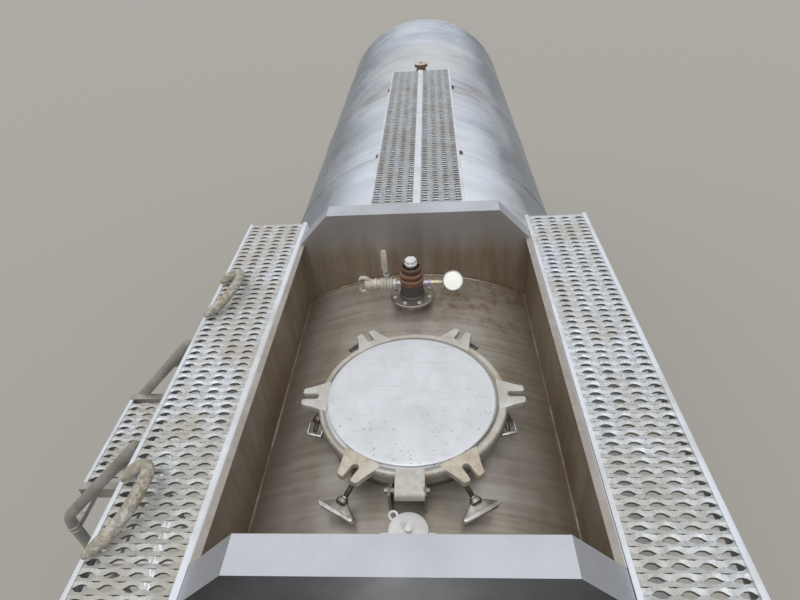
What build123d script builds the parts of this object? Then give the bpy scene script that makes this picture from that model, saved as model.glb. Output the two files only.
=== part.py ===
from build123d import *
import math
import os

# Tank trailer, in millimetres. +X points forward, +Y to the road side and +Z up.
# The origin is on the ground, under the centre of the manway.

# Fits between pieces
seat_gap = 0.3
pin_clearance = 0.05

# Barrel: the round jacket over tank and insulation, carried over the coupler's plate
coupler_height = 1200
barrel_over_coupler = 85
barrel_radius = 970
barrel_straight_half = 6300
head_depth = 253
head_knuckle_radius = 150
jacket_sheet_length = 1470
band_width = 60
band_thickness = 2.5
barrel_bottom = coupler_height + barrel_over_coupler
barrel_axis_height = barrel_bottom + barrel_radius
barrel_top = barrel_axis_height + barrel_radius
seam_xs = [jacket_sheet_length * (n + 0.5) for n in (1, 2, 3)]
band_xs = seam_xs + [barrel_straight_half - band_width / 2]
band_xs += [-x for x in band_xs]

# Manway: collar, lugs and hinge plates, lid with forked ears, and swing bolts
manway_bore_radius = 254
manway_well_depth = 760
collar_wall = 8
collar_flange_radius = 270
collar_flange_thickness = 12
collar_drop = 125
collar_height = 75
lid_radius = 284
lid_skirt_thickness = 6
lid_skirt_depth = 12
lid_plate_thickness = 12
lid_dome_radius = 266
lid_dome_rise = 10
ear_tip_radius = 347
ear_root_radius = 250
ear_root_half_width = 58
ear_tip_half_width = 30
ear_thickness = 16
ear_slot_width = 26
ear_slot_radius = 292
hinge_radius = 325
hinge_pin_radius = 8
hinge_knuckle_radius = 16
tongue_half_width = 43
hinge_plate_thickness = 8
bolt_pivot_radius = 284
bolt_pivot_drop = 30
lug_plate = 6
lug_reach = 12
bolt_shank_radius = 8
bolt_length = 112
bolt_eye_radius = 13
bolt_eye_half_width = 9
wing_length = 110
wing_width = 20
wing_thickness = 12
# Swing bolts: angle round the manway from forward, and droop below level, in degrees
swing_bolt_angles = [(30, 16), (90, 50), (150, 16), (210, 16), (270, 50), (330, 16)]

# Fittings inside the spill box
relief_valve_x = -597
relief_neck_radius = 57
relief_neck_height = 40
relief_flange_radius = 88
relief_flange_thickness = 12
relief_height = 163
cleaning_cap_x = 411
cleaning_cap_radius = 53
cleaning_cap_height = 46

# Spill box and rollover rails round the manway
box_wall = 4
box_half_width = 484
box_flange_half_width = 462
walkway_height = barrel_top + 165
rail_front_x = 610
rail_rear_x = -844
rail_width = 88
rail_height = 136
rail_top_half_width = 351
rail_plate = 5

# Gratings
plank_depth = 45
plank_plate = 4
side_plank_inner = 486
side_plank_outer = 752
side_plank_front_x = 768
side_plank_rear_x = -1002
strip_plank_width = 241
strip_seam = 12
strip_front_x = -1359
strip_rear_x = -3850
strip_depth = 38
strip_height = barrel_top + 52
strip_support_count = 5
bracket_count = 3
bracket_plate = 8
bracket_foot = side_plank_outer - 62

# Ladder on the curb side
stile_radius = 17.5
stile_spacing = 430
stile_y = -side_plank_outer - 385
stile_bottom = 700
stile_bend_height = walkway_height - 390
stile_top_y = -side_plank_outer - 18
stay_radius = 12
stay_spread = 450
stay_heights = [barrel_axis_height - stay_spread, barrel_axis_height + stay_spread]
stay_inner_y = 20 - math.sqrt(barrel_radius**2 - stay_spread**2)
rung_pitch = 300
rung_count = 8
rung_top = stile_bend_height - 45
rung_width = 36
rung_depth = 22
rung_plate = 4
step_height = walkway_height - 255
step_inner_y = -side_plank_outer - 32
step_outer_y = step_inner_y - (side_plank_outer - side_plank_inner)
step_half = stile_spacing / 2 - 40

# Grab loops, sleeved in hose, lying on the curb side walkway
loop_radius = 17
loop_foot_y = -736
# Route of a loop from foot to foot: along the walkway, in from its outer edge, and up
loop_route = [
    (102, 0, 0),
    (84, 20, 3),
    (50, 56, 20),
    (12, 80, 36),
    (-30, 91, 42),
    (-74, 91, 40),
    (-108, 84, 33),
    (-131, 65, 24),
    (-135, 40, 13),
    (-121, 17, 4),
    (-101, 0, 0),
]
loop_centres = [("grab_loop_front", 457), ("grab_loop_rear", -418)]

# Upper coupler and kingpin
coupler_plate = 12
coupler_length = 1750
coupler_front_x = barrel_straight_half + 100
coupler_rear_x = coupler_front_x - coupler_length
coupler_lip = 110
coupler_lip_rise = 36
coupler_half_width = 540
coupler_web_y = 470
coupler_web = 10
kingpin_x = coupler_front_x - 760
kingpin_neck_radius = 25.4
kingpin_neck_length = 36
kingpin_collar_radius = 36.5
kingpin_collar_length = 30
kingpin_flange_radius = 35.7
kingpin_flange_length = 20

# Landing gear
landing_setback = 2400
landing_x = kingpin_x - landing_setback
leg_y = 680
leg_outer = 115
leg_inner = 90
leg_top = barrel_bottom + 215
leg_outer_bottom = 560
foot_size = 260
foot_plate = 14
foot_taper = 50
bolster_plate = 8
bolster_bottom = barrel_bottom - 75
bolster_half_width = 740
bolster_foot = 600
landing_shaft_height = bolster_bottom - 130
landing_shaft_radius = 15
landing_brace_radius = 24
brace_foot = leg_outer_bottom + 160

# Running gear
axle_spacing = 1245
rear_axle_x = -barrel_straight_half + 600
axle_xs = [("front", rear_axle_x + axle_spacing), ("rear", rear_axle_x)]
tyre_radius = 527
tyre_width = 279
dual_spacing = 343
overall_width = 2438
rim_radius = 287
rim_width = 210
rim_lip = 11
hub_radius = 110
hub_cap_radius = 80
drum_radius = 208
spindle_radius = 45
axle_tube_radius = 63.5
outer_tyre_y = overall_width / 2 - tyre_width / 2
inner_tyre_y = outer_tyre_y - dual_spacing
dual_y = (outer_tyre_y + inner_tyre_y) / 2

# Frame over the axles, and its suspension
frame_y = 445
frame_bottom = coupler_height - 200
frame_web = 10
frame_flange = 100
frame_flange_thickness = 12
frame_rear_x = -barrel_straight_half - 140
frame_reach = 1655
frame_front_x = axle_xs[0][1] + frame_reach
frame_taper = 600
frame_top = barrel_axis_height - math.sqrt(barrel_radius**2 - (frame_y + frame_web) ** 2) + 20
hanger_ahead = 520
hanger_plate = 10
pivot_height = tyre_radius + 213
pivot_radius = 20
hanger_gap = 74
arm_width = 66
arm_bottom = tyre_radius + axle_tube_radius + seat_gap
arm_seat_height = arm_bottom + 60
spring_behind = 330
spring_plate_radius = 90

# Guards at the back
fender_radius = 600
fender_plate = 4
fender_half_angle = 70
fender_inner_y = 590
fender_outer_y = 1215
flap_x = rear_axle_x - 640
flap_height = 760
guard_tube_radius = 16
bumper_height = 550
bumper_section = 90
bumper_half_width = 1130
light_bar_height = frame_bottom + 60

# Hose tubes along both sides
hose_tube_radius = 102
hose_tube_y = 810
hose_tube_height = barrel_bottom + 100
hose_tube_front_x = landing_x - 590
hose_tube_rear_x = axle_xs[0][1] + 805
hose_tube_cap = 60
hose_bracket_count = 4


def side_plane(y):
    """Upright plane along the trailer at y, with X to the right and Z up."""
    return Plane(origin=(0, y, 0), x_dir=(1, 0, 0), z_dir=(0, -1, 0))


def plate(plane, points, thickness, mode=Mode.ADD):
    """Adds or cuts a flat plate with the outline given, centred on the plane."""
    with BuildSketch(plane) as face:
        with BuildLine():
            Polyline(*points, close=True)
        make_face()
    extrude(face.sketch, amount=thickness / 2, both=True, mode=mode)


def round_bar(start, end, radius, mode=Mode.ADD):
    """Adds or cuts a round bar between two points."""
    run = Vector(*end) - Vector(*start)
    with BuildSketch(Plane(origin=start, z_dir=run)) as section:
        Circle(radius)
    extrude(section.sketch, amount=run.length, mode=mode)


def seat_on_barrel():
    """Cuts the piece back to the jacket and its bands, so that it seats on the barrel."""
    with Locations(Plane(origin=(0, 0, barrel_axis_height), z_dir=(1, 0, 0))):
        Cylinder(barrel_radius + seat_gap, 2 * barrel_straight_half, mode=Mode.SUBTRACT)
    band_space = barrel_radius + band_thickness + 2 * seat_gap
    for x in band_xs:
        with Locations(Plane(origin=(x, 0, barrel_axis_height), z_dir=(1, 0, 0))):
            Cylinder(band_space, band_width + 2 * seat_gap, mode=Mode.SUBTRACT)


def barrel_surface(y):
    """Height of the jacket's upper side at a distance from the middle."""
    return barrel_axis_height + math.sqrt(barrel_radius**2 - y**2)


def write(piece, name):
    piece.part.label = name
    export_step(piece.part, f"parts/{name}.step")


os.makedirs("parts", exist_ok=True)

# Barrel, in three jacket sections that butt at their seams
with BuildPart() as tank_middle:
    with BuildSketch(Plane.YZ.offset(-jacket_sheet_length / 2)):
        with Locations((0, barrel_axis_height)):
            Circle(barrel_radius)
    extrude(amount=jacket_sheet_length)
    with BuildSketch(Plane.XY.offset(barrel_top)):
        Circle(manway_bore_radius)
    extrude(amount=-manway_well_depth, mode=Mode.SUBTRACT)
write(tank_middle, "tank_middle")

# A head is a shallow crown with a knuckle where it turns into the barrel
knuckle_ring = barrel_radius - head_knuckle_radius
crown_radius = (head_depth**2 - head_knuckle_radius**2 + knuckle_ring**2) / (
    2 * (head_depth - head_knuckle_radius)
)
crown_centre_x = barrel_straight_half + head_depth - crown_radius
crown_angle = math.degrees(math.atan2(knuckle_ring, crown_radius - head_depth))

for name, heading in [("tank_front", 1), ("tank_rear", -1)]:
    turned = Plane(
        origin=(0, 0, barrel_axis_height), x_dir=(heading, 0, 0), z_dir=(0, -heading, 0)
    )
    with BuildPart() as tank_end:
        with BuildSketch(turned):
            with BuildLine():
                knuckle = CenterArc(
                    (barrel_straight_half, knuckle_ring),
                    head_knuckle_radius,
                    90,
                    crown_angle - 90,
                )
                crown = CenterArc((crown_centre_x, 0), crown_radius, crown_angle, -crown_angle)
                Polyline(
                    crown @ 1,
                    (jacket_sheet_length / 2, 0),
                    (jacket_sheet_length / 2, barrel_radius),
                    knuckle @ 0,
                )
            make_face()
        revolve(axis=Axis((0, 0, barrel_axis_height), (1, 0, 0)))
    write(tank_end, name)

# Bands over the jacket's seams and at the heads
with BuildPart() as jacket_bands:
    for x in band_xs:
        with BuildSketch(Plane.YZ.offset(x - band_width / 2)):
            with Locations((0, barrel_axis_height)):
                Circle(barrel_radius + seat_gap + band_thickness)
                Circle(barrel_radius + seat_gap, mode=Mode.SUBTRACT)
        extrude(amount=band_width)
write(jacket_bands, "jacket_bands")

# Manway collar: a neck with its flange
collar_top = barrel_top + collar_height
lid_bottom = collar_top + seat_gap
lid_top = lid_bottom + lid_plate_thickness
hinge_height = lid_top
bolt_pivot_height = collar_top - bolt_pivot_drop
neck_radius = manway_bore_radius + collar_wall


def around_manway(angle, radius, height):
    """Point at an angle and radius round the manway."""
    a = math.radians(angle)
    return (radius * math.cos(a), radius * math.sin(a), height)


def radial_plane(angle):
    """Upright plane through the manway's axis, outward to the right and Z up."""
    a = math.radians(angle)
    return Plane(
        origin=(0, 0, 0),
        x_dir=(math.cos(a), math.sin(a), 0),
        z_dir=(math.sin(a), -math.cos(a), 0),
    )


with BuildPart() as manway_collar:
    with BuildSketch(Plane.XY.offset(barrel_top - collar_drop)):
        Circle(neck_radius)
    extrude(amount=collar_drop + collar_height)
    seat_on_barrel()
    with BuildSketch(Plane.XY.offset(collar_top - collar_flange_thickness)):
        Circle(collar_flange_radius)
    extrude(amount=collar_flange_thickness)
    with BuildSketch(Plane.XY.offset(barrel_top - collar_drop)):
        Circle(manway_bore_radius)
    extrude(amount=collar_drop + collar_height, mode=Mode.SUBTRACT)
write(manway_collar, "manway_collar")

# Lugs for the swing bolts and plates for the hinge pin, welded on the collar
with BuildPart() as manway_lugs:
    lug_root = neck_radius + seat_gap
    flange_bottom = collar_top - collar_flange_thickness - seat_gap
    for angle, droop in swing_bolt_angles:
        lug_outline = [
            (lug_root, bolt_pivot_height - 20),
            (bolt_pivot_radius + lug_reach, bolt_pivot_height - 12),
            (bolt_pivot_radius + lug_reach, bolt_pivot_height + 12),
            (collar_flange_radius + seat_gap, flange_bottom),
            (lug_root, flange_bottom),
        ]
        for side in (-1, 1):
            lug_centre = side * (bolt_eye_half_width + lug_plate / 2)
            plate(radial_plane(angle).offset(lug_centre), lug_outline, lug_plate)
    hinge_outline = [
        (lug_root + 2, barrel_top - 20),
        (hinge_radius + 10, barrel_top - 20),
        (hinge_radius + hinge_knuckle_radius, hinge_height),
        (hinge_radius, hinge_height + hinge_knuckle_radius),
        (hinge_radius - hinge_knuckle_radius, hinge_height),
        (hinge_radius - 25, collar_top - 24),
        (lug_root + 2, collar_top - 24),
    ]
    for side in (-1, 1):
        hinge_plate_y = side * (tongue_half_width + 1 + hinge_plate_thickness / 2)
        plate(side_plane(hinge_plate_y), hinge_outline, hinge_plate_thickness)
    seat_on_barrel()
    pin_half = tongue_half_width + 1 + hinge_plate_thickness + 8
    round_bar(
        (hinge_radius, -pin_half, hinge_height),
        (hinge_radius, pin_half, hinge_height),
        hinge_pin_radius,
    )
write(manway_lugs, "manway_lugs")

# Manway lid: dished plate with a skirt, six forked ears and the hinge tongue
with BuildPart() as manway_lid:
    with BuildSketch(Plane.XZ):
        with BuildLine():
            rise = ThreePointArc(
                (0, lid_top + lid_dome_rise),
                (lid_dome_radius / 2, lid_top + lid_dome_rise - 2),
                (lid_dome_radius - 10, lid_top + lid_dome_rise - 7),
            )
            Polyline(
                rise @ 1,
                (lid_dome_radius, lid_top),
                (lid_radius, lid_top),
                (lid_radius, collar_top - lid_skirt_depth),
                (lid_radius - lid_skirt_thickness, collar_top - lid_skirt_depth),
                (lid_radius - lid_skirt_thickness, lid_bottom),
                (0, lid_bottom),
                rise @ 0,
            )
        make_face()
    revolve(axis=Axis.Z)
    for angle, droop in swing_bolt_angles:
        ear_plane = Plane(
            origin=(0, 0, lid_top - 4),
            x_dir=around_manway(angle, 1, 0),
            z_dir=(0, 0, 1),
        )
        with BuildSketch(ear_plane) as ear:
            with BuildLine():
                Polyline(
                    (ear_root_radius, -ear_root_half_width),
                    (ear_slot_radius + 6, -ear_root_half_width + 6),
                    (ear_tip_radius, -ear_tip_half_width + 6),
                    (ear_tip_radius, ear_tip_half_width - 6),
                    (ear_slot_radius + 6, ear_root_half_width - 6),
                    (ear_root_radius, ear_root_half_width),
                    close=True,
                )
            make_face()
            with Locations((ear_slot_radius, 0)):
                Circle(ear_slot_width / 2, mode=Mode.SUBTRACT)
            with Locations((ear_slot_radius + 50, 0)):
                Rectangle(100, ear_slot_width, mode=Mode.SUBTRACT)
        extrude(ear.sketch, amount=ear_thickness)
    tongue = [
        (ear_root_radius, lid_top - 6),
        (hinge_radius, lid_top - hinge_knuckle_radius),
        (hinge_radius + hinge_knuckle_radius - 2, lid_top - 6),
        (hinge_radius + hinge_knuckle_radius - 2, lid_top + 6),
        (hinge_radius, lid_top + hinge_knuckle_radius),
        (ear_root_radius, lid_top + 10),
    ]
    plate(side_plane(0), tongue, 2 * tongue_half_width)
    round_bar(
        (hinge_radius, -tongue_half_width, hinge_height),
        (hinge_radius, tongue_half_width, hinge_height),
        hinge_pin_radius + pin_clearance,
        Mode.SUBTRACT,
    )
write(manway_lid, "manway_lid")

# Swing bolts, released: each turns on the eye between its two lugs
with BuildPart() as swing_bolts:
    for angle, droop in swing_bolt_angles:
        pivot = around_manway(angle, bolt_pivot_radius, bolt_pivot_height)
        outward = Vector(*around_manway(angle, 1, 0))
        sideways = outward.cross(Vector(0, 0, 1))
        fall = math.radians(droop)
        run = outward * math.cos(fall) - Vector(0, 0, math.sin(fall))
        with BuildSketch(Plane(origin=pivot, z_dir=sideways)) as eye:
            Circle(bolt_eye_radius)
        extrude(eye.sketch, amount=bolt_eye_half_width, both=True)
        along = Plane(origin=pivot, x_dir=sideways, z_dir=run)
        with BuildSketch(along) as shank:
            Circle(bolt_shank_radius)
        extrude(shank.sketch, amount=bolt_length)
        with BuildSketch(along.offset(bolt_length - 24)) as nut:
            Circle(wing_width * 0.7)
        extrude(nut.sketch, amount=18)
        with BuildSketch(along.offset(bolt_length - 20)) as wing:
            SlotOverall(wing_length, wing_width)
        extrude(wing.sketch, amount=wing_thickness)
write(swing_bolts, "swing_bolts")

# Relief valve on its flanged neck
relief_flange_top = barrel_top + relief_neck_height + relief_flange_thickness
# Rings up the relief valve: radius and height of the top above the flange
relief_rings = [(45, 68), (47.5, 81), (40.5, 93), (45.5, 106), (37.5, 117), (41, 131), (24, 163)]
with BuildPart() as relief_valve:
    with BuildSketch(Plane.XY.offset(barrel_top - 40)):
        with Locations((relief_valve_x, 0)):
            Circle(relief_neck_radius)
    extrude(amount=40 + relief_neck_height)
    seat_on_barrel()
    with BuildSketch(Plane.XY.offset(barrel_top + relief_neck_height)):
        with Locations((relief_valve_x, 0)):
            Circle(relief_flange_radius)
    extrude(amount=relief_flange_thickness)
    ring_bottom = 0
    for radius, ring_top in relief_rings:
        with BuildSketch(Plane.XY.offset(relief_flange_top + ring_bottom)):
            with Locations((relief_valve_x, 0)):
                if ring_top == relief_height:
                    RegularPolygon(radius, 6)
                else:
                    Circle(radius)
        extrude(amount=ring_top - ring_bottom)
        ring_bottom = ring_top
write(relief_valve, "relief_valve")

# Air valve on the curb side of the relief valve, with an upright lever
side_port_height = relief_flange_top + 49
valve_body_radius = relief_rings[0][0]
with BuildPart() as air_valve:
    pipe_start = -(valve_body_radius + seat_gap)
    round_bar(
        (relief_valve_x, pipe_start, side_port_height),
        (relief_valve_x, -211, side_port_height),
        14,
    )
    for start_y, end_y, radius in [(-62, -78, 22), (-80, -127, 26), (-139, -148, 23), (-156, -188, 23)]:
        round_bar(
            (relief_valve_x, start_y, side_port_height),
            (relief_valve_x, end_y, side_port_height),
            radius,
        )
    lever_base = side_port_height + 24
    round_bar((relief_valve_x, -111, side_port_height), (relief_valve_x, -111, lever_base + 12), 8)
    lever = [
        (-122, lever_base + 6),
        (-100, lever_base + 6),
        (-104, lever_base + 132),
        (-120, lever_base + 132),
    ]
    plate(Plane.YZ.offset(relief_valve_x), lever, 5)
write(air_valve, "air_valve")

# Pressure gauge on the road side, its dial tilted forward
gauge_y = 158
with BuildPart() as pressure_gauge:
    round_bar(
        (relief_valve_x, valve_body_radius + seat_gap, side_port_height),
        (relief_valve_x, gauge_y - 10, side_port_height),
        11,
    )
    round_bar((relief_valve_x, 74, side_port_height), (relief_valve_x, 104, side_port_height), 18)
    with BuildSketch(Plane(origin=(relief_valve_x, gauge_y, side_port_height + 6), z_dir=(1, 0, 1))) as dial:
        Circle(40)
    extrude(dial.sketch, amount=12, both=True)
write(pressure_gauge, "pressure_gauge")

# Cleaning cap near the front rail, with its small side lever
with BuildPart() as cleaning_cap:
    with BuildSketch(Plane.XY.offset(barrel_top - 30)):
        with Locations((cleaning_cap_x, 0)):
            Circle(cleaning_cap_radius - 8)
    extrude(amount=30 + cleaning_cap_height - 16)
    seat_on_barrel()
    with BuildSketch(Plane.XY.offset(barrel_top + cleaning_cap_height - 20)):
        with Locations((cleaning_cap_x, 0)):
            Circle(cleaning_cap_radius)
    extrude(amount=20)
    with BuildSketch(Plane.XY.offset(barrel_top + cleaning_cap_height - 14)):
        with Locations((cleaning_cap_x, 0)):
            SlotOverall(2 * cleaning_cap_radius + 44, 18, rotation=90)
    extrude(amount=9)
write(cleaning_cap, "cleaning_cap")

# Spill box: long side walls with a flange turned inward at the top
rail_front_inner = rail_front_x - rail_width / 2
rail_rear_inner = rail_rear_x + rail_width / 2
with BuildPart() as spill_box_sides:
    for side in (-1, 1):
        wall = [
            (side * (box_half_width - box_wall), walkway_height),
            (side * box_flange_half_width, walkway_height),
            (side * box_flange_half_width, walkway_height + box_wall),
            (side * box_half_width, walkway_height + box_wall),
            (side * box_half_width, barrel_surface(box_half_width) - 20),
            (side * (box_half_width - box_wall), barrel_surface(box_half_width) - 20),
        ]
        with BuildSketch(Plane.YZ.offset(rail_rear_inner)):
            with BuildLine():
                Polyline(*wall, close=True)
            make_face()
        extrude(amount=rail_front_inner - rail_rear_inner)
    seat_on_barrel()
write(spill_box_sides, "spill_box_sides")

# Rollover rails across both ends of the box: folded plate, open towards the barrel
with BuildPart() as box_rails:
    rail_top = walkway_height + rail_height
    rail_foot = barrel_surface(box_half_width) - 60
    for x in (rail_front_x, rail_rear_x):
        with BuildSketch(Plane.YZ.offset(x)) as rail:
            with BuildLine():
                Polyline(
                    (-box_half_width, rail_foot),
                    (-box_half_width, walkway_height),
                    (-rail_top_half_width, rail_top),
                    (rail_top_half_width, rail_top),
                    (box_half_width, walkway_height),
                    (box_half_width, rail_foot),
                    close=True,
                )
            make_face()
        extrude(rail.sketch, amount=rail_width / 2, both=True)
        with BuildSketch(Plane.YZ.offset(x)) as hollow:
            add(rail.sketch)
            offset(amount=-rail_plate, kind=Kind.INTERSECTION, mode=Mode.REPLACE)
        extrude(
            hollow.sketch,
            amount=rail_width / 2 - rail_plate,
            both=True,
            mode=Mode.SUBTRACT,
        )
    seat_on_barrel()
write(box_rails, "box_rails")


def plank(inner, outer, rear_x, front_x, height, depth):
    """Adds a walkway plank: a channel along X with its flanges down."""
    low, high = min(inner, outer), max(inner, outer)
    with BuildSketch(Plane.YZ.offset(rear_x)) as section:
        with BuildLine():
            Polyline(
                (low, height - depth),
                (low, height),
                (high, height),
                (high, height - depth),
                (high - plank_plate, height - depth),
                (high - plank_plate, height - plank_plate),
                (low + plank_plate, height - plank_plate),
                (low + plank_plate, height - depth),
                close=True,
            )
        make_face()
    extrude(section.sketch, amount=front_x - rear_x)


# Walkways along both sides of the box
with BuildPart() as side_walkways:
    for side in (-1, 1):
        plank(
            side * side_plank_inner,
            side * side_plank_outer,
            side_plank_rear_x,
            side_plank_front_x,
            walkway_height,
            plank_depth,
        )
write(side_walkways, "side_walkways")

# Walkway of two planks along the top of the barrel, towards the rear
strip_half_width = strip_seam / 2 + strip_plank_width
with BuildPart() as top_walkway:
    for side in (-1, 1):
        plank(
            side * strip_seam / 2,
            side * strip_half_width,
            strip_rear_x,
            strip_front_x,
            strip_height,
            strip_depth,
        )
write(top_walkway, "top_walkway")

# Brackets that carry the walkways on the barrel
with BuildPart() as walkway_brackets:
    bracket_rear_x = side_plank_rear_x + 102
    bracket_pitch = (side_plank_front_x - 102 - bracket_rear_x) / (bracket_count - 1)
    for n in range(bracket_count):
        for side in (-1, 1):
            gusset = [
                (side * (box_half_width + 4), walkway_height - plank_depth),
                (side * (side_plank_outer - 4), walkway_height - plank_depth),
                (side * (side_plank_outer - 4), walkway_height - plank_depth - 45),
                (side * bracket_foot, barrel_surface(bracket_foot) - 20),
                (side * (box_half_width + 4), barrel_surface(bracket_foot) - 20),
            ]
            plate(Plane.YZ.offset(bracket_rear_x + n * bracket_pitch), gusset, bracket_plate)
    strip_underside = strip_height - strip_depth
    support_pitch = (strip_front_x - strip_rear_x - 180) / (strip_support_count - 1)
    for n in range(strip_support_count):
        support = [
            (-strip_half_width, strip_underside),
            (strip_half_width, strip_underside),
            (strip_half_width, strip_underside - 80),
            (-strip_half_width, strip_underside - 80),
        ]
        plate(Plane.YZ.offset(strip_rear_x + 90 + n * support_pitch), support, bracket_plate)
    seat_on_barrel()
write(walkway_brackets, "walkway_brackets")

# Capped fitting on the barrel behind the top walkway
top_fitting_x = -4049
with BuildPart() as top_fitting:
    with BuildSketch(Plane.XY.offset(barrel_top - 30)):
        with Locations((top_fitting_x, 0)):
            Circle(38)
    extrude(amount=30 + 40)
    seat_on_barrel()
    with BuildSketch(Plane.XY.offset(barrel_top + 24)):
        with Locations((top_fitting_x, 0)):
            Circle(55)
    extrude(amount=34)
    with BuildSketch(Plane.XY.offset(barrel_top + 58)):
        with Locations((top_fitting_x, 0)):
            Rectangle(70, 16)
    extrude(amount=14)
write(top_fitting, "top_fitting")

# Ladder: bent stiles, channel rungs, stays to the barrel and arms beside the step
with BuildPart() as ladder:
    for side in (-1, 1):
        x = side * stile_spacing / 2
        with BuildLine() as stile_path:
            FilletPolyline(
                (x, stile_y, stile_bottom),
                (x, stile_y, stile_bend_height),
                (x, stile_top_y, stile_bend_height + stile_top_y - stile_y),
                radius=90,
            )
        with BuildSketch(Plane(origin=stile_path.line @ 0, z_dir=(0, 0, 1))) as tube:
            Circle(stile_radius)
        sweep(tube.sketch, path=stile_path.line)
        gusset = [
            (-side_plank_outer - seat_gap, walkway_height - 4),
            (-side_plank_outer - seat_gap, walkway_height - plank_depth),
            (-side_plank_outer - 48, walkway_height - 120),
            (-side_plank_outer - 98, walkway_height - 130),
            (-side_plank_outer - 38, walkway_height - plank_depth),
        ]
        plate(Plane.YZ.offset(x), gusset, 8)
        step_arm = [
            (step_outer_y, step_height),
            (step_inner_y, step_height),
            (step_inner_y, step_height - plank_depth),
            (step_outer_y, step_height - plank_depth),
        ]
        arm_middle = (step_half + stile_spacing / 2 - stile_radius) / 2 + 2
        plate(Plane.YZ.offset(side * arm_middle), step_arm, 2 * (arm_middle - step_half - seat_gap))
        for stay_height in stay_heights:
            round_bar((x, stile_y, stay_height), (x, stay_inner_y, stay_height), stay_radius)
    for n in range(rung_count):
        rung_height = rung_top - n * rung_pitch
        rung_edge = rung_width / 2
        rung = [
            (stile_y - rung_edge, rung_height),
            (stile_y + rung_edge, rung_height),
            (stile_y + rung_edge, rung_height - rung_depth),
            (stile_y + rung_edge - rung_plate, rung_height - rung_depth),
            (stile_y + rung_edge - rung_plate, rung_height - rung_plate),
            (stile_y - rung_edge + rung_plate, rung_height - rung_plate),
            (stile_y - rung_edge + rung_plate, rung_height - rung_depth),
            (stile_y - rung_edge, rung_height - rung_depth),
        ]
        plate(Plane.YZ, rung, stile_spacing - stile_radius)
    seat_on_barrel()
write(ladder, "ladder")

# Grating step between the stiles, below the walkway
with BuildPart() as ladder_step:
    plank(step_inner_y, step_outer_y, -step_half, step_half, step_height, plank_depth)
write(ladder_step, "ladder_step")

# Grab loops: each stands on the walkway as a low arch from foot to foot
for name, centre_x in loop_centres:
    lie = walkway_height + loop_radius + seat_gap
    route = [(centre_x + x, loop_foot_y + y, lie + z) for x, y, z in loop_route]
    radii = []
    for before, here, after in zip(route, route[1:], route[2:]):
        run_in = Vector(*here) - Vector(*before)
        run_out = Vector(*after) - Vector(*here)
        half_turn = math.radians(run_in.get_angle(run_out)) / 2
        radii.append(0.45 * min(run_in.length, run_out.length) / math.tan(half_turn))
    print(name, "bend radii", [round(r) for r in radii])
    with BuildPart() as grab_loop:
        with BuildLine() as loop_path:
            FilletPolyline(*route, radius=radii)
        with BuildSketch(Plane(origin=route[0], z_dir=loop_path.line % 0)) as sleeve:
            Circle(loop_radius)
        sweep(sleeve.sketch, path=loop_path.line)
    print(name, "length", round(sum(edge.length for edge in loop_path.edges())))
    write(grab_loop, name)

# Upper coupler: sole plate with a turned-up lip, webs up to the barrel, kingpin
coupler_top = coupler_height + coupler_plate
coupler_web_height = barrel_over_coupler + 155
connection_x = coupler_front_x - coupler_lip - 20
with BuildPart() as coupler:
    sole = [
        (coupler_rear_x, coupler_height),
        (coupler_front_x - coupler_lip, coupler_height),
        (coupler_front_x, coupler_height + coupler_lip_rise),
        (coupler_front_x, coupler_top + coupler_lip_rise),
        (coupler_front_x - coupler_lip - 4, coupler_top),
        (coupler_rear_x, coupler_top),
    ]
    plate(side_plane(0), sole, 2 * coupler_half_width)
    for side in (-1, 1):
        web = [
            (coupler_rear_x + 20, coupler_top - 1),
            (connection_x, coupler_top - 1),
            (connection_x, coupler_top + coupler_web_height),
            (coupler_rear_x + 20, coupler_top + coupler_web_height),
        ]
        plate(side_plane(side * coupler_web_y), web, coupler_web)
    cross_xs = [
        coupler_rear_x + 60,
        coupler_rear_x + 560,
        kingpin_x + 160,
        connection_x - coupler_web / 2,
    ]
    for x in cross_xs:
        cross = [
            (-coupler_web_y, coupler_top - 1),
            (coupler_web_y, coupler_top - 1),
            (coupler_web_y, coupler_top + coupler_web_height),
            (-coupler_web_y, coupler_top + coupler_web_height),
        ]
        plate(Plane.YZ.offset(x), cross, coupler_web)
    seat_on_barrel()
    pin_bottom = coupler_height
    for radius, length in [
        (kingpin_collar_radius, kingpin_collar_length),
        (kingpin_neck_radius, kingpin_neck_length),
        (kingpin_flange_radius, kingpin_flange_length),
    ]:
        with BuildSketch(Plane.XY.offset(pin_bottom)):
            with Locations((kingpin_x, 0)):
                Circle(radius)
        extrude(amount=-length)
        pin_bottom -= length
write(coupler, "coupler")

# Air and light connections on the coupler's front web
with BuildPart() as front_connections:
    connection_height = coupler_top + 34
    panel_x = connection_x + seat_gap
    with BuildSketch(Plane.YZ.offset(panel_x)):
        with Locations((0, connection_height)):
            Rectangle(420, 44)
    extrude(amount=6)
    for y in (-150, 150):
        round_bar((panel_x, y, connection_height), (panel_x + 26, y, connection_height), 16)
        with BuildSketch(Plane.YZ.offset(panel_x + 10)):
            with Locations((y, connection_height)):
                SlotOverall(80, 44)
        extrude(amount=16)
    round_bar((panel_x, 0, connection_height), (panel_x + 24, 0, connection_height), 28)
write(front_connections, "front_connections")

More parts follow.
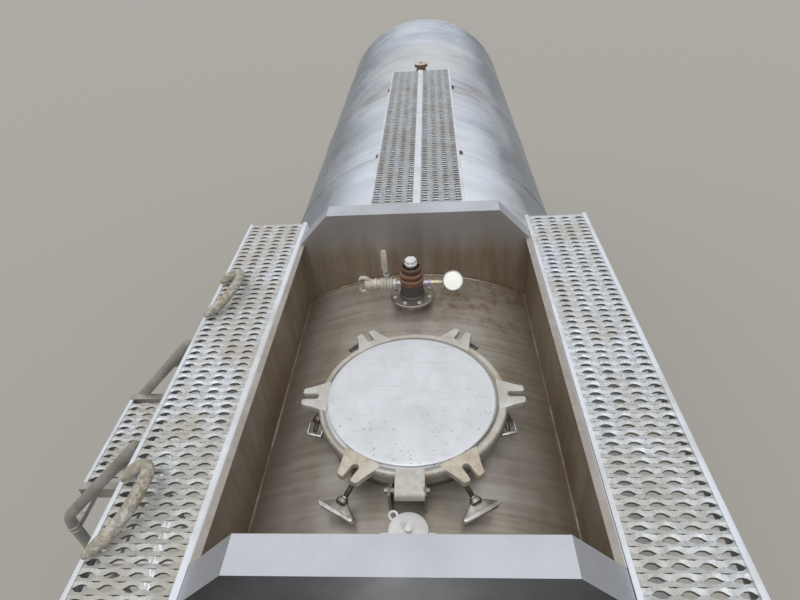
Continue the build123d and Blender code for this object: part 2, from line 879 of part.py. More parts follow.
# Landing gear: bolster under the barrel, two telescopic legs with feet, braces
with BuildPart() as landing_gear:
    bolster = [
        (-bolster_half_width, bolster_bottom + 170),
        (-bolster_foot, bolster_bottom),
        (bolster_foot, bolster_bottom),
        (bolster_half_width, bolster_bottom + 170),
        (bolster_half_width, bolster_bottom + 350),
        (-bolster_half_width, bolster_bottom + 350),
    ]
    for side in (-1, 1):
        bolster_x = landing_x + side * (leg_outer + bolster_plate) / 2
        plate(Plane.YZ.offset(bolster_x), bolster, bolster_plate)
        with BuildSketch(Plane.XY.offset(foot_plate)) as leg_foot:
            with Locations((landing_x, side * leg_y)):
                Rectangle(leg_inner + 50, leg_inner + 50)
        with BuildSketch(Plane.XY.offset(foot_plate + foot_taper)) as leg_ankle:
            with Locations((landing_x, side * leg_y)):
                Rectangle(leg_inner, leg_inner)
        loft([leg_foot.sketch, leg_ankle.sketch])
        for bottom, top, size in [
            (0, foot_plate, foot_size),
            (foot_plate + foot_taper, leg_outer_bottom, leg_inner),
            (leg_outer_bottom, leg_top, leg_outer),
        ]:
            with BuildSketch(Plane.XY.offset(bottom)):
                with Locations((landing_x, side * leg_y)):
                    Rectangle(size, size)
            extrude(amount=top - bottom)
        round_bar(
            (landing_x + 26, side * leg_y, brace_foot),
            (landing_x + 26, side * 180, bolster_bottom + 15),
            landing_brace_radius,
        )
        round_bar(
            (landing_x, side * leg_y, brace_foot),
            (landing_x + 760, side * 560, barrel_bottom + 195),
            landing_brace_radius,
        )
    with BuildSketch(Plane.XY.offset(bolster_bottom)):
        with Locations((landing_x, 0)):
            Rectangle(leg_outer + 2 * bolster_plate, 2 * bolster_foot)
    extrude(amount=bolster_plate)
    seat_on_barrel()
write(landing_gear, "landing_gear")

# Cross shaft, gear box and hand crank of the landing gear
with BuildPart() as landing_crank:
    leg_face = leg_y - leg_outer / 2
    round_bar(
        (landing_x - 26, -leg_face + seat_gap, landing_shaft_height),
        (landing_x - 26, leg_face - seat_gap, landing_shaft_height),
        landing_shaft_radius,
    )
    gear_box_y = leg_y + leg_outer / 2 + seat_gap
    with BuildSketch(side_plane(gear_box_y)):
        with Locations((landing_x, landing_shaft_height)):
            Rectangle(130, 200)
    extrude(amount=-70)
    round_bar(
        (landing_x, gear_box_y + 70, landing_shaft_height),
        (landing_x, gear_box_y + 150, landing_shaft_height),
        13,
    )
    round_bar(
        (landing_x, gear_box_y + 140, landing_shaft_height + 12),
        (landing_x, gear_box_y + 140, landing_shaft_height - 300),
        11,
    )
    round_bar(
        (landing_x, gear_box_y + 130, landing_shaft_height - 290),
        (landing_x, gear_box_y + 260, landing_shaft_height - 290),
        13,
    )
write(landing_crank, "landing_crank")

# Frame over the axles: two rails, cross members and the suspension hangers
flange_front_x = frame_front_x - frame_taper
with BuildPart() as subframe:
    for side in (-1, 1):
        web = [
            (frame_rear_x, frame_bottom),
            (frame_front_x - frame_taper, frame_bottom),
            (frame_front_x, frame_top - 150),
            (frame_front_x, frame_top),
            (-barrel_straight_half, frame_top),
            (-barrel_straight_half, frame_top - 50),
            (frame_rear_x, frame_top - 140),
        ]
        plate(side_plane(side * frame_y), web, frame_web)
        with BuildSketch(Plane.XY.offset(frame_bottom)):
            with Locations(((frame_rear_x + flange_front_x) / 2, side * frame_y)):
                Rectangle(flange_front_x - frame_rear_x, frame_flange)
        extrude(amount=frame_flange_thickness)
        for name, axle_x in axle_xs:
            pivot_x = axle_x + hanger_ahead
            hanger = [
                (pivot_x - 120, frame_bottom + 2),
                (pivot_x + 120, frame_bottom + 2),
                (pivot_x + 60, pivot_height - 50),
                (pivot_x - 60, pivot_height - 50),
            ]
            for cheek in (-1, 1):
                cheek_y = side * frame_y + cheek * (hanger_gap + hanger_plate) / 2
                plate(side_plane(cheek_y), hanger, hanger_plate)
            round_bar(
                (pivot_x, side * frame_y - 60, pivot_height),
                (pivot_x, side * frame_y + 60, pivot_height),
                pivot_radius,
            )
    cross_xs = [frame_front_x - 700, -barrel_straight_half + 500]
    cross_xs += [axle_x + hanger_ahead for name, axle_x in axle_xs]
    for x in cross_xs:
        cross = [
            (-frame_y, frame_bottom + frame_flange_thickness),
            (frame_y, frame_bottom + frame_flange_thickness),
            (frame_y, frame_top),
            (-frame_y, frame_top),
        ]
        plate(Plane.YZ.offset(x), cross, frame_web)
    seat_on_barrel()
write(subframe, "subframe")

# Trailing arms, each from its hanger pivot over the axle to the air spring
with BuildPart() as trailing_arms:
    for name, axle_x in axle_xs:
        for side in (-1, 1):
            pivot_x = axle_x + hanger_ahead
            arm = [
                (pivot_x + 46, pivot_height + 34),
                (pivot_x + 46, pivot_height - 40),
                (axle_x + 130, arm_bottom),
                (axle_x - spring_behind - 95, arm_bottom),
                (axle_x - spring_behind - 95, arm_seat_height),
                (axle_x - spring_behind + 110, arm_seat_height),
                (axle_x - 100, arm_seat_height + 40),
                (axle_x + 140, arm_seat_height + 40),
            ]
            plate(side_plane(side * frame_y), arm, arm_width)
            round_bar(
                (pivot_x, side * frame_y - arm_width, pivot_height),
                (pivot_x, side * frame_y + arm_width, pivot_height),
                pivot_radius + seat_gap,
                Mode.SUBTRACT,
            )
write(trailing_arms, "trailing_arms")

# Air springs: bellows between the arm's piston and the frame
with BuildPart() as air_springs:
    for name, axle_x in axle_xs:
        for side in (-1, 1):
            spring_x = axle_x - spring_behind
            upright = Plane(
                origin=(spring_x, side * frame_y, 0), x_dir=(1, 0, 0), z_dir=(0, -1, 0)
            )
            with BuildSketch(upright) as section:
                with BuildLine():
                    piston = Polyline(
                        (0, arm_seat_height),
                        (82, arm_seat_height),
                        (74, arm_seat_height + 100),
                        (96, arm_seat_height + 100),
                    )
                    bellows = ThreePointArc(
                        piston @ 1,
                        (118, arm_seat_height + 190),
                        (100, arm_seat_height + 300),
                    )
                    Polyline(
                        bellows @ 1,
                        (90, arm_seat_height + 310),
                        (90, frame_bottom),
                        (0, frame_bottom),
                        piston @ 0,
                    )
                make_face()
            revolve(section.sketch, axis=Axis((spring_x, side * frame_y, 0), (0, 0, 1)))
write(air_springs, "air_springs")

# Axles: beam, spindles, brake plates, chambers and cam shafts
drum_inner_y = dual_y - 268
spindle_end_y = dual_y + 160
with BuildPart() as axles:
    for name, axle_x in axle_xs:
        round_bar(
            (axle_x, -drum_inner_y + 40, tyre_radius),
            (axle_x, drum_inner_y - 40, tyre_radius),
            axle_tube_radius,
        )
        for side in (-1, 1):
            round_bar(
                (axle_x, side * (drum_inner_y - 60), tyre_radius),
                (axle_x, side * spindle_end_y, tyre_radius),
                spindle_radius,
            )
            round_bar(
                (axle_x, side * (drum_inner_y - 14), tyre_radius),
                (axle_x, side * (drum_inner_y - 8), tyre_radius),
                drum_radius - 4,
            )
            chamber_height = tyre_radius + 30
            round_bar(
                (axle_x + 100, side * 260, chamber_height),
                (axle_x + 250, side * 260, chamber_height),
                78,
            )
            round_bar(
                (axle_x + 40, side * 260, chamber_height - 20),
                (axle_x + 110, side * 260, chamber_height),
                26,
            )
            round_bar(
                (axle_x + 82, side * 330, tyre_radius),
                (axle_x + 82, side * (drum_inner_y - 10), tyre_radius),
                16,
            )
            round_bar(
                (axle_x, side * 345, tyre_radius),
                (axle_x + 90, side * 345, tyre_radius),
                22,
            )
write(axles, "axles")


def wheel_outline(side, points):
    """Outline across a wheel: distance out from the middle, and height over the axle."""
    return [(side * across, up) for across, up in points]


# Wheels: twin tyres on rims, with discs, hub and brake drum
for axle_name, axle_x in axle_xs:
    for side_name, side in [("left", 1), ("right", -1)]:
        spin = Axis((axle_x, 0, tyre_radius), (0, 1, 0))
        across = Plane(origin=(axle_x, 0, tyre_radius), x_dir=(0, 1, 0), z_dir=(1, 0, 0))
        with BuildPart() as tyres:
            for middle in (inner_tyre_y, outer_tyre_y):
                half = tyre_width / 2
                section = [
                    (middle - half + 38, rim_radius),
                    (middle + half - 38, rim_radius),
                    (middle + half, 398),
                    (middle + half, 436),
                    (middle + half - 11, tyre_radius - 18),
                    (middle + half - 26, tyre_radius),
                    (middle - half + 26, tyre_radius),
                    (middle - half + 11, tyre_radius - 18),
                    (middle - half, 436),
                    (middle - half, 398),
                ]
                with BuildSketch(across) as rubber:
                    with BuildLine():
                        Polyline(*wheel_outline(side, section), close=True)
                    make_face()
                revolve(rubber.sketch, axis=spin)
        write(tyres, f"tyres_{axle_name}_{side_name}")

        with BuildPart() as wheel:
            rings = []
            for middle in (inner_tyre_y, outer_tyre_y):
                edge = rim_width / 2
                rings.append([
                    (middle - edge - 7, rim_radius - 18),
                    (middle + edge + 7, rim_radius - 18),
                    (middle + edge + 7, rim_radius + rim_lip),
                    (middle + edge + 0.5, rim_radius + rim_lip),
                    (middle + edge + 0.5, rim_radius - seat_gap),
                    (middle - edge - 0.5, rim_radius - seat_gap),
                    (middle - edge - 0.5, rim_radius + rim_lip),
                    (middle - edge - 7, rim_radius + rim_lip),
                ])
            for facing, rim_edge in [(1, outer_tyre_y - 100), (-1, inner_tyre_y + 100)]:
                rings.append([
                    (dual_y, hub_radius - 4),
                    (dual_y + facing * 10, hub_radius - 4),
                    (dual_y + facing * 10, 182),
                    (rim_edge + facing * 12, rim_radius - 14),
                    (rim_edge, rim_radius - 14),
                    (dual_y, 196),
                ])
            rings.append([
                (drum_inner_y, spindle_radius + pin_clearance),
                (drum_inner_y, drum_radius),
                (dual_y - 60, drum_radius),
                (dual_y - 30, 170),
                (dual_y, 170),
                (dual_y, hub_radius),
                (spindle_end_y + 6, hub_radius),
                (spindle_end_y + 6, hub_cap_radius),
                (spindle_end_y + 50, hub_cap_radius - 8),
                (spindle_end_y + 50, 0),
                (spindle_end_y + 6, 0),
                (spindle_end_y + 6, spindle_radius + pin_clearance),
            ])
            for ring in rings:
                with BuildSketch(across) as metal:
                    with BuildLine():
                        Polyline(*wheel_outline(side, ring), close=True)
                    make_face()
                revolve(metal.sketch, axis=spin)
        write(wheel, f"wheel_{axle_name}_{side_name}")

# Fenders: a rolled plate over each pair of twin tyres, on a tube from the frame
fender_width = fender_outer_y - fender_inner_y
with BuildPart() as fenders:
    for name, axle_x in axle_xs:
        for side in (-1, 1):
            near_y = side * fender_inner_y
            with BuildSketch(side_plane(near_y)) as arch:
                with BuildLine():
                    outer_arc = CenterArc(
                        (axle_x, tyre_radius),
                        fender_radius + fender_plate,
                        90 - fender_half_angle,
                        2 * fender_half_angle,
                    )
                    inner_arc = CenterArc(
                        (axle_x, tyre_radius),
                        fender_radius,
                        90 - fender_half_angle,
                        2 * fender_half_angle,
                    )
                    Line(outer_arc @ 0, inner_arc @ 0)
                    Line(outer_arc @ 1, inner_arc @ 1)
                make_face()
            extrude(arch.sketch, amount=-side * fender_width)
            tube_height = tyre_radius + fender_radius + guard_tube_radius
            round_bar(
                (axle_x, side * (frame_y + frame_web / 2), tube_height),
                (axle_x, side * (fender_outer_y - 30), tube_height),
                guard_tube_radius,
            )
write(fenders, "fenders")

# Mud flaps behind the rear wheels, hung from a tube off the frame
with BuildPart() as mud_flaps:
    for side in (-1, 1):
        tube_height = frame_bottom + 40
        round_bar(
            (flap_x, side * (frame_y + frame_web / 2), tube_height),
            (flap_x, side * (fender_outer_y - 5), tube_height),
            guard_tube_radius,
        )
        flap = [
            (side * (fender_inner_y + 5), tube_height),
            (side * (fender_outer_y - 5), tube_height),
            (side * (fender_outer_y - 5), tube_height - flap_height),
            (side * (fender_inner_y + 5), tube_height - flap_height),
        ]
        plate(Plane.YZ.offset(flap_x), flap, 8)
write(mud_flaps, "mud_flaps")

# Rear guard: bumper bar, uprights and the light bar
bumper_x = -barrel_straight_half - head_depth + bumper_section / 2
with BuildPart() as rear_guard:
    bumper = [
        (bumper_x - bumper_section / 2, bumper_height - bumper_section / 2),
        (bumper_x + bumper_section / 2, bumper_height - bumper_section / 2),
        (bumper_x + bumper_section / 2, bumper_height + bumper_section / 2),
        (bumper_x - bumper_section / 2, bumper_height + bumper_section / 2),
    ]
    plate(side_plane(0), bumper, 2 * bumper_half_width)
    for side in (-1, 1):
        upright = [
            (bumper_x - 30, bumper_height),
            (bumper_x + 40, bumper_height),
            (frame_rear_x - seat_gap, frame_bottom - 120),
            (frame_rear_x - seat_gap, light_bar_height + 50),
            (bumper_x - 30, light_bar_height + 50),
        ]
        plate(side_plane(side * frame_y), upright, 12)
    light_bar = [
        (bumper_x - 34, light_bar_height - 70),
        (bumper_x - 28, light_bar_height - 70),
        (bumper_x - 28, light_bar_height + 64),
        (bumper_x + 10, light_bar_height + 64),
        (bumper_x + 10, light_bar_height + 70),
        (bumper_x - 34, light_bar_height + 70),
    ]
    plate(side_plane(0), light_bar, 2 * bumper_half_width)
write(rear_guard, "rear_guard")

# Round tail lamps on the light bar
lamp_x = bumper_x - 34 - seat_gap
lamp_ys = [bumper_half_width - 150 - n * 140 for n in range(3)]
with BuildPart() as tail_lamps:
    for side in (-1, 1):
        for y in lamp_ys:
            round_bar(
                (lamp_x, side * y, light_bar_height),
                (lamp_x - 10, side * y, light_bar_height),
                52,
            )
write(tail_lamps, "tail_lamps")

# Rear outlet: sump under the barrel, pipe, valve and cap between the frame rails
outlet_x = -barrel_straight_half + 350
outlet_height = barrel_bottom - 155
with BuildPart() as outlet_valve:
    with BuildSketch(Plane.XY.offset(outlet_height)):
        with Locations((outlet_x, 0)):
            Circle(105)
    extrude(amount=200)
    seat_on_barrel()
    for start_x, end_x, radius in [(0, -370, 44), (-290, -306, 84), (-310, -350, 96), (-354, -370, 84)]:
        round_bar(
            (outlet_x + start_x, 0, outlet_height + 50),
            (outlet_x + end_x, 0, outlet_height + 50),
            radius,
        )
write(outlet_valve, "outlet_valve")

# Hose tubes along both sides, carried by bracket plates on the barrel
with BuildPart() as hose_tubes:
    bracket_run = hose_tube_front_x - hose_tube_rear_x - 800
    for side in (-1, 1):
        for n in range(hose_bracket_count):
            x = hose_tube_rear_x + 400 + n * bracket_run / (hose_bracket_count - 1)
            bracket = [
                (side * 600, hose_tube_height - 55),
                (side * 700, hose_tube_height - 135),
                (side * 925, hose_tube_height - 135),
                (side * 925, hose_tube_height + 115),
                (side * 760, hose_tube_height + 315),
                (side * 600, hose_tube_height + 315),
            ]
            plate(Plane.YZ.offset(x), bracket, bracket_plate)
        seat_on_barrel()
    for side in (-1, 1):
        round_bar(
            (hose_tube_rear_x, side * hose_tube_y, hose_tube_height),
            (hose_tube_front_x, side * hose_tube_y, hose_tube_height),
            hose_tube_radius,
        )
        for x in (hose_tube_rear_x, hose_tube_front_x - hose_tube_cap):
            round_bar(
                (x, side * hose_tube_y, hose_tube_height),
                (x + hose_tube_cap, side * hose_tube_y, hose_tube_height),
                hose_tube_radius + 7,
            )
write(hose_tubes, "hose_tubes")

# Brake air reservoirs between the frame rails
air_tank_radius = 118
air_tank_length = 320
air_tank_y = 190
air_tank_height = frame_bottom + 130
with BuildPart() as air_tanks:
    boss_x = axle_xs[0][1] + hanger_ahead + frame_web / 2 + seat_gap
    tank_x = boss_x + 55
    for y in (-air_tank_y, air_tank_y):
        round_bar((boss_x, y, air_tank_height), (tank_x, y, air_tank_height), 20)
        round_bar(
            (tank_x, y, air_tank_height),
            (tank_x + air_tank_length, y, air_tank_height),
            air_tank_radius,
        )
write(air_tanks, "air_tanks")
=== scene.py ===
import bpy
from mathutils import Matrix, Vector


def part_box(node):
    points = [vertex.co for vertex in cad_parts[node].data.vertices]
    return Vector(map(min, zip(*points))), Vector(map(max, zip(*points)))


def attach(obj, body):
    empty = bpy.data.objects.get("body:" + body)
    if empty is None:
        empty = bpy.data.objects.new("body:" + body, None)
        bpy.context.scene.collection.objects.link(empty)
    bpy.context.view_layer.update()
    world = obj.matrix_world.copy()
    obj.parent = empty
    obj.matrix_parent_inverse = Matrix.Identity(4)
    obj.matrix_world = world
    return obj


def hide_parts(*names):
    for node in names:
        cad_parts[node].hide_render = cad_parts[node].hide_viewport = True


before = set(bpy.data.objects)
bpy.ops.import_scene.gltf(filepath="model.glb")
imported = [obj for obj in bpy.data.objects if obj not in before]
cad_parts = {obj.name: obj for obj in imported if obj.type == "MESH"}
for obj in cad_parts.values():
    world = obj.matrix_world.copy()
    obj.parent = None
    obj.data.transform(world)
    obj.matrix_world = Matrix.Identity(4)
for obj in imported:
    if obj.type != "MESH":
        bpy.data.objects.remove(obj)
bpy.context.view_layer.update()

import math

import bmesh
import bpy
from mathutils import Matrix, Vector

# Directions, then heights and places that the pieces share, in metres
AHEAD = Vector((1, 0, 0))
ROADSIDE = Vector((0, 1, 0))
UP = Vector((0, 0, 1))
WALK_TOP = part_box("side_walkways")[1].z
STRIP_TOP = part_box("top_walkway")[1].z
STEP_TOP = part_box("ladder_step")[1].z
STRAND_DEEP = 0.012
BARREL_RADIUS = 0.97
BARREL_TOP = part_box("tank_middle")[1].z
BARREL_AXIS = BARREL_TOP - BARREL_RADIUS
BARREL_HALF = 6.3
BOX_LOW, BOX_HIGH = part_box("spill_box_sides")
AXLES = {"front": -4.455, "rear": -5.7}
TRAILER = "trailer"


def point_camera():
    """Stands the camera over the front rail, looking back along the barrel."""
    yaw, pitch, roll = 0.0848, 0.6509, -0.0764
    place = (1.1661, 0.0915, 4.5903)
    level = Vector((-math.sin(yaw), math.cos(yaw), 0))
    back = Vector((-math.cos(yaw), -math.sin(yaw), 0))
    sight = back * math.cos(pitch) - UP * math.sin(pitch)
    right = level * math.cos(roll) + level.cross(sight) * math.sin(roll)
    lens = bpy.data.cameras.new("walkway_camera")
    lens.sensor_width = 36
    lens.lens = 24.65
    lens.clip_start = 0.05
    lens.clip_end = 300
    camera = bpy.data.objects.new("walkway_camera", lens)
    turn = Matrix((right, right.cross(sight), -sight)).transposed().to_4x4()
    camera.matrix_world = Matrix.Translation(place) @ turn
    bpy.context.scene.collection.objects.link(camera)
    bpy.context.scene.camera = camera


point_camera()

# Nodes of the materials


def feed(tree, node, inputs):
    """Gives inputs of a node their values or their links."""
    for key, value in inputs.items():
        if isinstance(value, bpy.types.NodeSocket):
            tree.links.new(value, node.inputs[key])
        else:
            node.inputs[key].default_value = value


def put(tree, kind, inputs=None, **settings):
    """Adds a node, with its settings, and with values or links on its inputs."""
    node = tree.nodes.new(kind)
    for key, value in settings.items():
        setattr(node, key, value)
    feed(tree, node, inputs or {})
    return node


def sums(tree, operation, first, second=0.0):
    """One step of arithmetic."""
    return put(tree, "ShaderNodeMath", {0: first, 1: second}, operation=operation).outputs[0]


def times(tree, first, second):
    """Product of two values."""
    return sums(tree, "MULTIPLY", first, second)


def between(tree, value, from_low, from_high, to_low=0.0, to_high=1.0):
    """Fades a value from one range into another."""
    inputs = {0: value, 1: from_low, 2: from_high, 3: to_low, 4: to_high}
    return put(tree, "ShaderNodeMapRange", inputs).outputs[0]


def band_mask(tree, value, low, high, edge):
    """One inside a range of a value, fading over its edge."""
    rise = between(tree, value, low - edge, low + edge)
    return times(tree, rise, between(tree, value, high - edge, high + edge, 1.0, 0.0))


def over(tree, mask, under, top, share=1.0):
    """Lays a colour over another where the mask is white, as strongly as its share says."""
    if share < 1:
        mask = times(tree, mask, share)
    under, top = [(*shade, 1.0) if isinstance(shade, tuple) else shade for shade in (under, top)]
    return put(tree, "ShaderNodeMix", {0: mask, 6: under, 7: top}, data_type="RGBA").outputs[2]


def xyz(tree, vector):
    """The three parts of a vector."""
    return put(tree, "ShaderNodeSeparateXYZ", {0: vector}).outputs


def noise(tree, place, scale, detail, roughness=0.5):
    """Soft noise between none and one."""
    inputs = {"Vector": place, "Scale": scale, "Detail": detail, "Roughness": roughness}
    return put(tree, "ShaderNodeTexNoise", inputs).outputs["Fac"]


def effect(name, inputs, output):
    """Starts a shared effect: a node group with a place, the values named and one output."""
    tree = bpy.data.node_groups.new(name, "ShaderNodeTree")
    tree.interface.new_socket(name="Vector", in_out="INPUT", socket_type="NodeSocketVector")
    for socket, value in inputs.items():
        made = tree.interface.new_socket(name=socket, in_out="INPUT", socket_type="NodeSocketFloat")
        made.default_value = value
    tree.interface.new_socket(name=output, in_out="OUTPUT", socket_type="NodeSocketFloat")
    return tree, put(tree, "NodeGroupInput").outputs, put(tree, "NodeGroupOutput").inputs[output]


def build_patches():
    """Cloudy patches: stains, dirt and worn places."""
    tree, given, mask = effect("stain_patches", {"Scale": 4.0, "Coverage": 0.5, "Edge": 0.12}, "Mask")
    cloud = noise(tree, given["Vector"], given["Scale"], 7.0, 0.62)
    start = sums(tree, "SUBTRACT", 0.68, times(tree, given["Coverage"], 0.36))
    low = sums(tree, "SUBTRACT", start, given["Edge"])
    high = sums(tree, "ADD", start, given["Edge"])
    tree.links.new(between(tree, cloud, low, high), mask)
    return tree


def build_grain():
    """Fine relief of a rolled, cast or moulded surface."""
    tree, given, height = effect("fine_grain", {"Scale": 300.0}, "Height")
    tree.links.new(noise(tree, given["Vector"], given["Scale"], 4.0, 0.7), height)
    return tree


def build_pits():
    """Scattered dark pits, in some cells of the surface only."""
    tree, given, mask = effect("rust_pits", {"Scale": 120.0, "Share": 0.3}, "Mask")
    inputs = {"Vector": given["Vector"], "Scale": given["Scale"], "Randomness": 1.0}
    cells = put(tree, "ShaderNodeTexVoronoi", inputs).outputs
    near = between(tree, cells["Distance"], 0.1, 0.26, 1.0, 0.0)
    cell = put(tree, "ShaderNodeSeparateColor", {0: cells["Color"]}).outputs[0]
    tree.links.new(times(tree, near, sums(tree, "LESS_THAN", cell, given["Share"])), mask)
    return tree


def build_dust():
    """Road dust, thick near the ground and gone at the height given."""
    tree, given, mask = effect("road_dust", {"Top": 1.2}, "Mask")
    share = sums(tree, "DIVIDE", xyz(tree, given["Vector"])[2], given["Top"])
    low = between(tree, share, 0.0, 1.0, 0.9, 0.0)
    cloud = noise(tree, given["Vector"], 5.0, 8.0, 0.7)
    tree.links.new(times(tree, low, between(tree, cloud, 0.3, 0.7, 0.35, 1.0)), mask)
    return tree


PATCHES = build_patches()
GRAIN = build_grain()
PITS = build_pits()
DUST = build_dust()


def use(tree, group, **inputs):
    """Places a shared effect in a material and gives its output."""
    return put(tree, "ShaderNodeGroup", inputs, node_tree=group).outputs[0]


def stretched(tree, place, scale):
    """A place scaled along the three axes."""
    return put(tree, "ShaderNodeMapping", {"Vector": place, "Scale": scale}).outputs[0]


def stains(tree, place, scale, coverage, edge, stretch=None):
    """Patches of a scale, stretched if need be."""
    if stretch:
        place = stretched(tree, place, stretch)
    return use(tree, PATCHES, Vector=place, Scale=scale, Coverage=coverage, Edge=edge)


def new_finish(name):
    """A new material, its tree, its shader and the place on the object."""
    material = bpy.data.materials.new(name)
    material.use_nodes = True
    tree = material.node_tree
    place = put(tree, "ShaderNodeTexCoord").outputs["Object"]
    return material, tree, tree.nodes["Principled BSDF"], place


def facing(tree):
    """The three parts of the surface's direction."""
    return xyz(tree, put(tree, "ShaderNodeTexCoord").outputs["Normal"])


def relief(tree, height, strength, distance=0.001):
    """A bump of a height."""
    inputs = {"Height": height, "Strength": strength, "Distance": distance}
    return put(tree, "ShaderNodeBump", inputs).outputs[0]


def weathered(
    name, clean, stained, metallic, rough, scale, coverage=0.5, dust_top=None, grain=350.0, bump=0.12, coat=0.0
):
    """A finish of its clean colour, with stains, grain and, low down, road dust."""
    material, tree, shader, place = new_finish(name)
    worn = stains(tree, place, scale, coverage, 0.14)
    fine = use(tree, GRAIN, Vector=place, Scale=grain)
    shade = over(tree, worn, clean, stained)
    dark = tuple(part * 0.45 for part in clean)
    shade = over(tree, between(tree, fine, 0.25, 0.75, 0.0, 0.16), shade, dark)
    roughness = between(tree, worn, 0.0, 1.0, *rough)
    metal = metallic
    if dust_top:
        dusty = use(tree, DUST, Vector=place, Top=dust_top)
        shade = over(tree, dusty, shade, (0.36, 0.31, 0.25))
        roughness = sums(tree, "MAXIMUM", roughness, times(tree, dusty, 0.95))
        if metallic > 0:
            metal = times(tree, sums(tree, "SUBTRACT", 1.0, dusty), metallic)
    feed(tree, shader, {
        "Base Color": shade,
        "Roughness": roughness,
        "Metallic": metal,
        "Coat Weight": coat,
        "Normal": relief(tree, fine, bump),
    })
    return material


# Inner faces of the spill box, as the stains on the jacket and plates follow them
BOX_BACK = -0.802
BOX_FRONT = 0.568
BOX_SIDE = 0.484


def jacket_finish():
    """Polished jacket: hazed, water-marked, brown where the spill box stands round it, and darkened down its
    flanks as a painted reflection of the dark skyline.
    """
    material, tree, shader, place = new_finish("jacket_steel")
    x, y, z = xyz(tree, place)
    haze = stains(tree, place, 1.3, 0.55, 0.2, (1, 1.6, 1))
    runs = stains(tree, place, 1.6, 0.42, 0.12, (9, 0.7, 0.7))
    shade = over(tree, haze, (0.86, 0.9, 0.96), (0.98, 0.99, 1.0))
    shade = over(tree, runs, shade, (0.66, 0.66, 0.65), 0.4)
    ring = times(tree, band_mask(tree, x, -3.88, -3.45, 0.05), stains(tree, place, 5.0, 0.6, 0.16))
    shade = over(tree, ring, shade, (0.6, 0.5, 0.4), 0.6)
    beige = times(tree, band_mask(tree, x, -5.0, -4.0, 0.15), between(tree, z, 3.05, 3.16))
    shade = over(tree, beige, shade, (0.93, 0.9, 0.82), 0.7)
    # Painted reflection: below a wavy line the flanks are darkened, standing in for the dark skyline they
    # reflect.
    reflection_wobble = noise(tree, stretched(tree, place, (0.55, 1, 1)), 4.0, 3.0)
    height = sums(tree, "ADD", z, times(tree, reflection_wobble, 0.34))
    painted_flank_reflection = over(tree, haze, (0.5, 0.525, 0.56), (0.6, 0.62, 0.65))
    shade = over(tree, between(tree, height, 3.24, 3.12), shade, painted_flank_reflection)

    stroke = stains(tree, place, 1.6, 0.5, 0.1, (26, 1.3, 1))
    tide = stains(tree, place, 3.4, 0.5, 0.18, (0.8, 2.2, 1))
    swirl = stains(tree, place, 3.0, 0.5, 0.18, (7, 1.2, 1))
    floor = over(tree, tide, (0.42, 0.4, 0.37), (0.33, 0.28, 0.21))
    floor = over(tree, swirl, floor, (0.24, 0.2, 0.15), 0.45)
    floor = over(tree, stroke, floor, (0.56, 0.53, 0.48), 0.35)
    walls = between(tree, sums(tree, "ABSOLUTE", y), 0.34, 0.47)
    floor = over(tree, walls, floor, (0.2, 0.165, 0.12), 0.45)
    back = times(tree, between(tree, x, -0.4, -0.6), between(tree, y, -0.05, 0.1))
    rusty = times(tree, stains(tree, place, 22.0, 0.3, 0.1), between(tree, back, 0, 1, 0.15, 0.9))
    floor = over(tree, rusty, floor, (0.25, 0.14, 0.08))

    lengthwise = band_mask(tree, x, BOX_BACK, BOX_FRONT, 0.004)
    sideways = band_mask(tree, y, -BOX_SIDE, BOX_SIDE, 0.003)
    boxed = times(tree, times(tree, lengthwise, sideways), between(tree, z, 2.9, 2.95))
    rough = sums(tree, "ADD", between(tree, haze, 0, 1, 0.2, 0.33), times(tree, boxed, 0.12))
    wave = noise(tree, stretched(tree, place, (1.6, 1, 1)), 1.7, 1.0)
    fine = use(tree, GRAIN, Vector=stretched(tree, place, (1, 14, 14)), Scale=40.0)
    uneven = sums(tree, "ADD", wave, times(tree, fine, 0.004))
    feed(tree, shader, {
        "Base Color": over(tree, boxed, shade, floor),
        "Roughness": rough,
        "Metallic": between(tree, boxed, 0, 1, 1.0, 0.45),
        "Specular Tint": (0.7, 0.73, 0.78, 1.0),
        "Normal": relief(tree, uneven, 0.5, 0.02),
    })
    return material


def box_finish():
    """Plate of the spill box: pale outside, brown with runs on its inner faces, with painted shade, near black,
    on its outer face looking ahead.
    """
    material, tree, shader, place = new_finish("spill_box_plate")
    x, y, z = xyz(tree, place)
    inside = between(tree, sums(tree, "ABSOLUTE", y), 0.4815, 0.4825, 1.0, 0.0)
    lengthwise = band_mask(tree, x, BOX_BACK - 0.001, BOX_FRONT - 0.0015, 0.0006)
    below = between(tree, z, WALK_TOP - 0.06, WALK_TOP + 0.07, 1.0, 0.4)
    boxed = times(tree, times(tree, inside, lengthwise), below)
    runs = stains(tree, place, 1.8, 0.52, 0.16, (12, 12, 1.1))
    cloud = stains(tree, place, 5.0, 0.5, 0.2)
    pale = over(tree, cloud, (0.58, 0.595, 0.64), (0.48, 0.485, 0.51))
    # Painted shade: the box's outer face looking ahead is darkened nearly to black.
    painted_shade_front = times(tree, between(tree, facing(tree)[0], 0.6, 0.9), between(tree, x, 0.57, 0.6))
    pale = over(tree, painted_shade_front, pale, (0.035, 0.034, 0.032), 0.96)
    brown = over(tree, cloud, (0.37, 0.33, 0.27), (0.27, 0.22, 0.165))
    brown = over(tree, runs, brown, (0.2, 0.13, 0.075), 0.7)
    fine = use(tree, GRAIN, Vector=stretched(tree, place, (6, 1, 1)), Scale=150.0)
    feed(tree, shader, {
        "Base Color": over(tree, boxed, pale, brown),
        "Roughness": between(tree, cloud, 0, 1, 0.34, 0.5),
        "Metallic": between(tree, boxed, 0, 1, 0.95, 0.35),
        "Normal": relief(tree, fine, 0.18),
    })
    return material


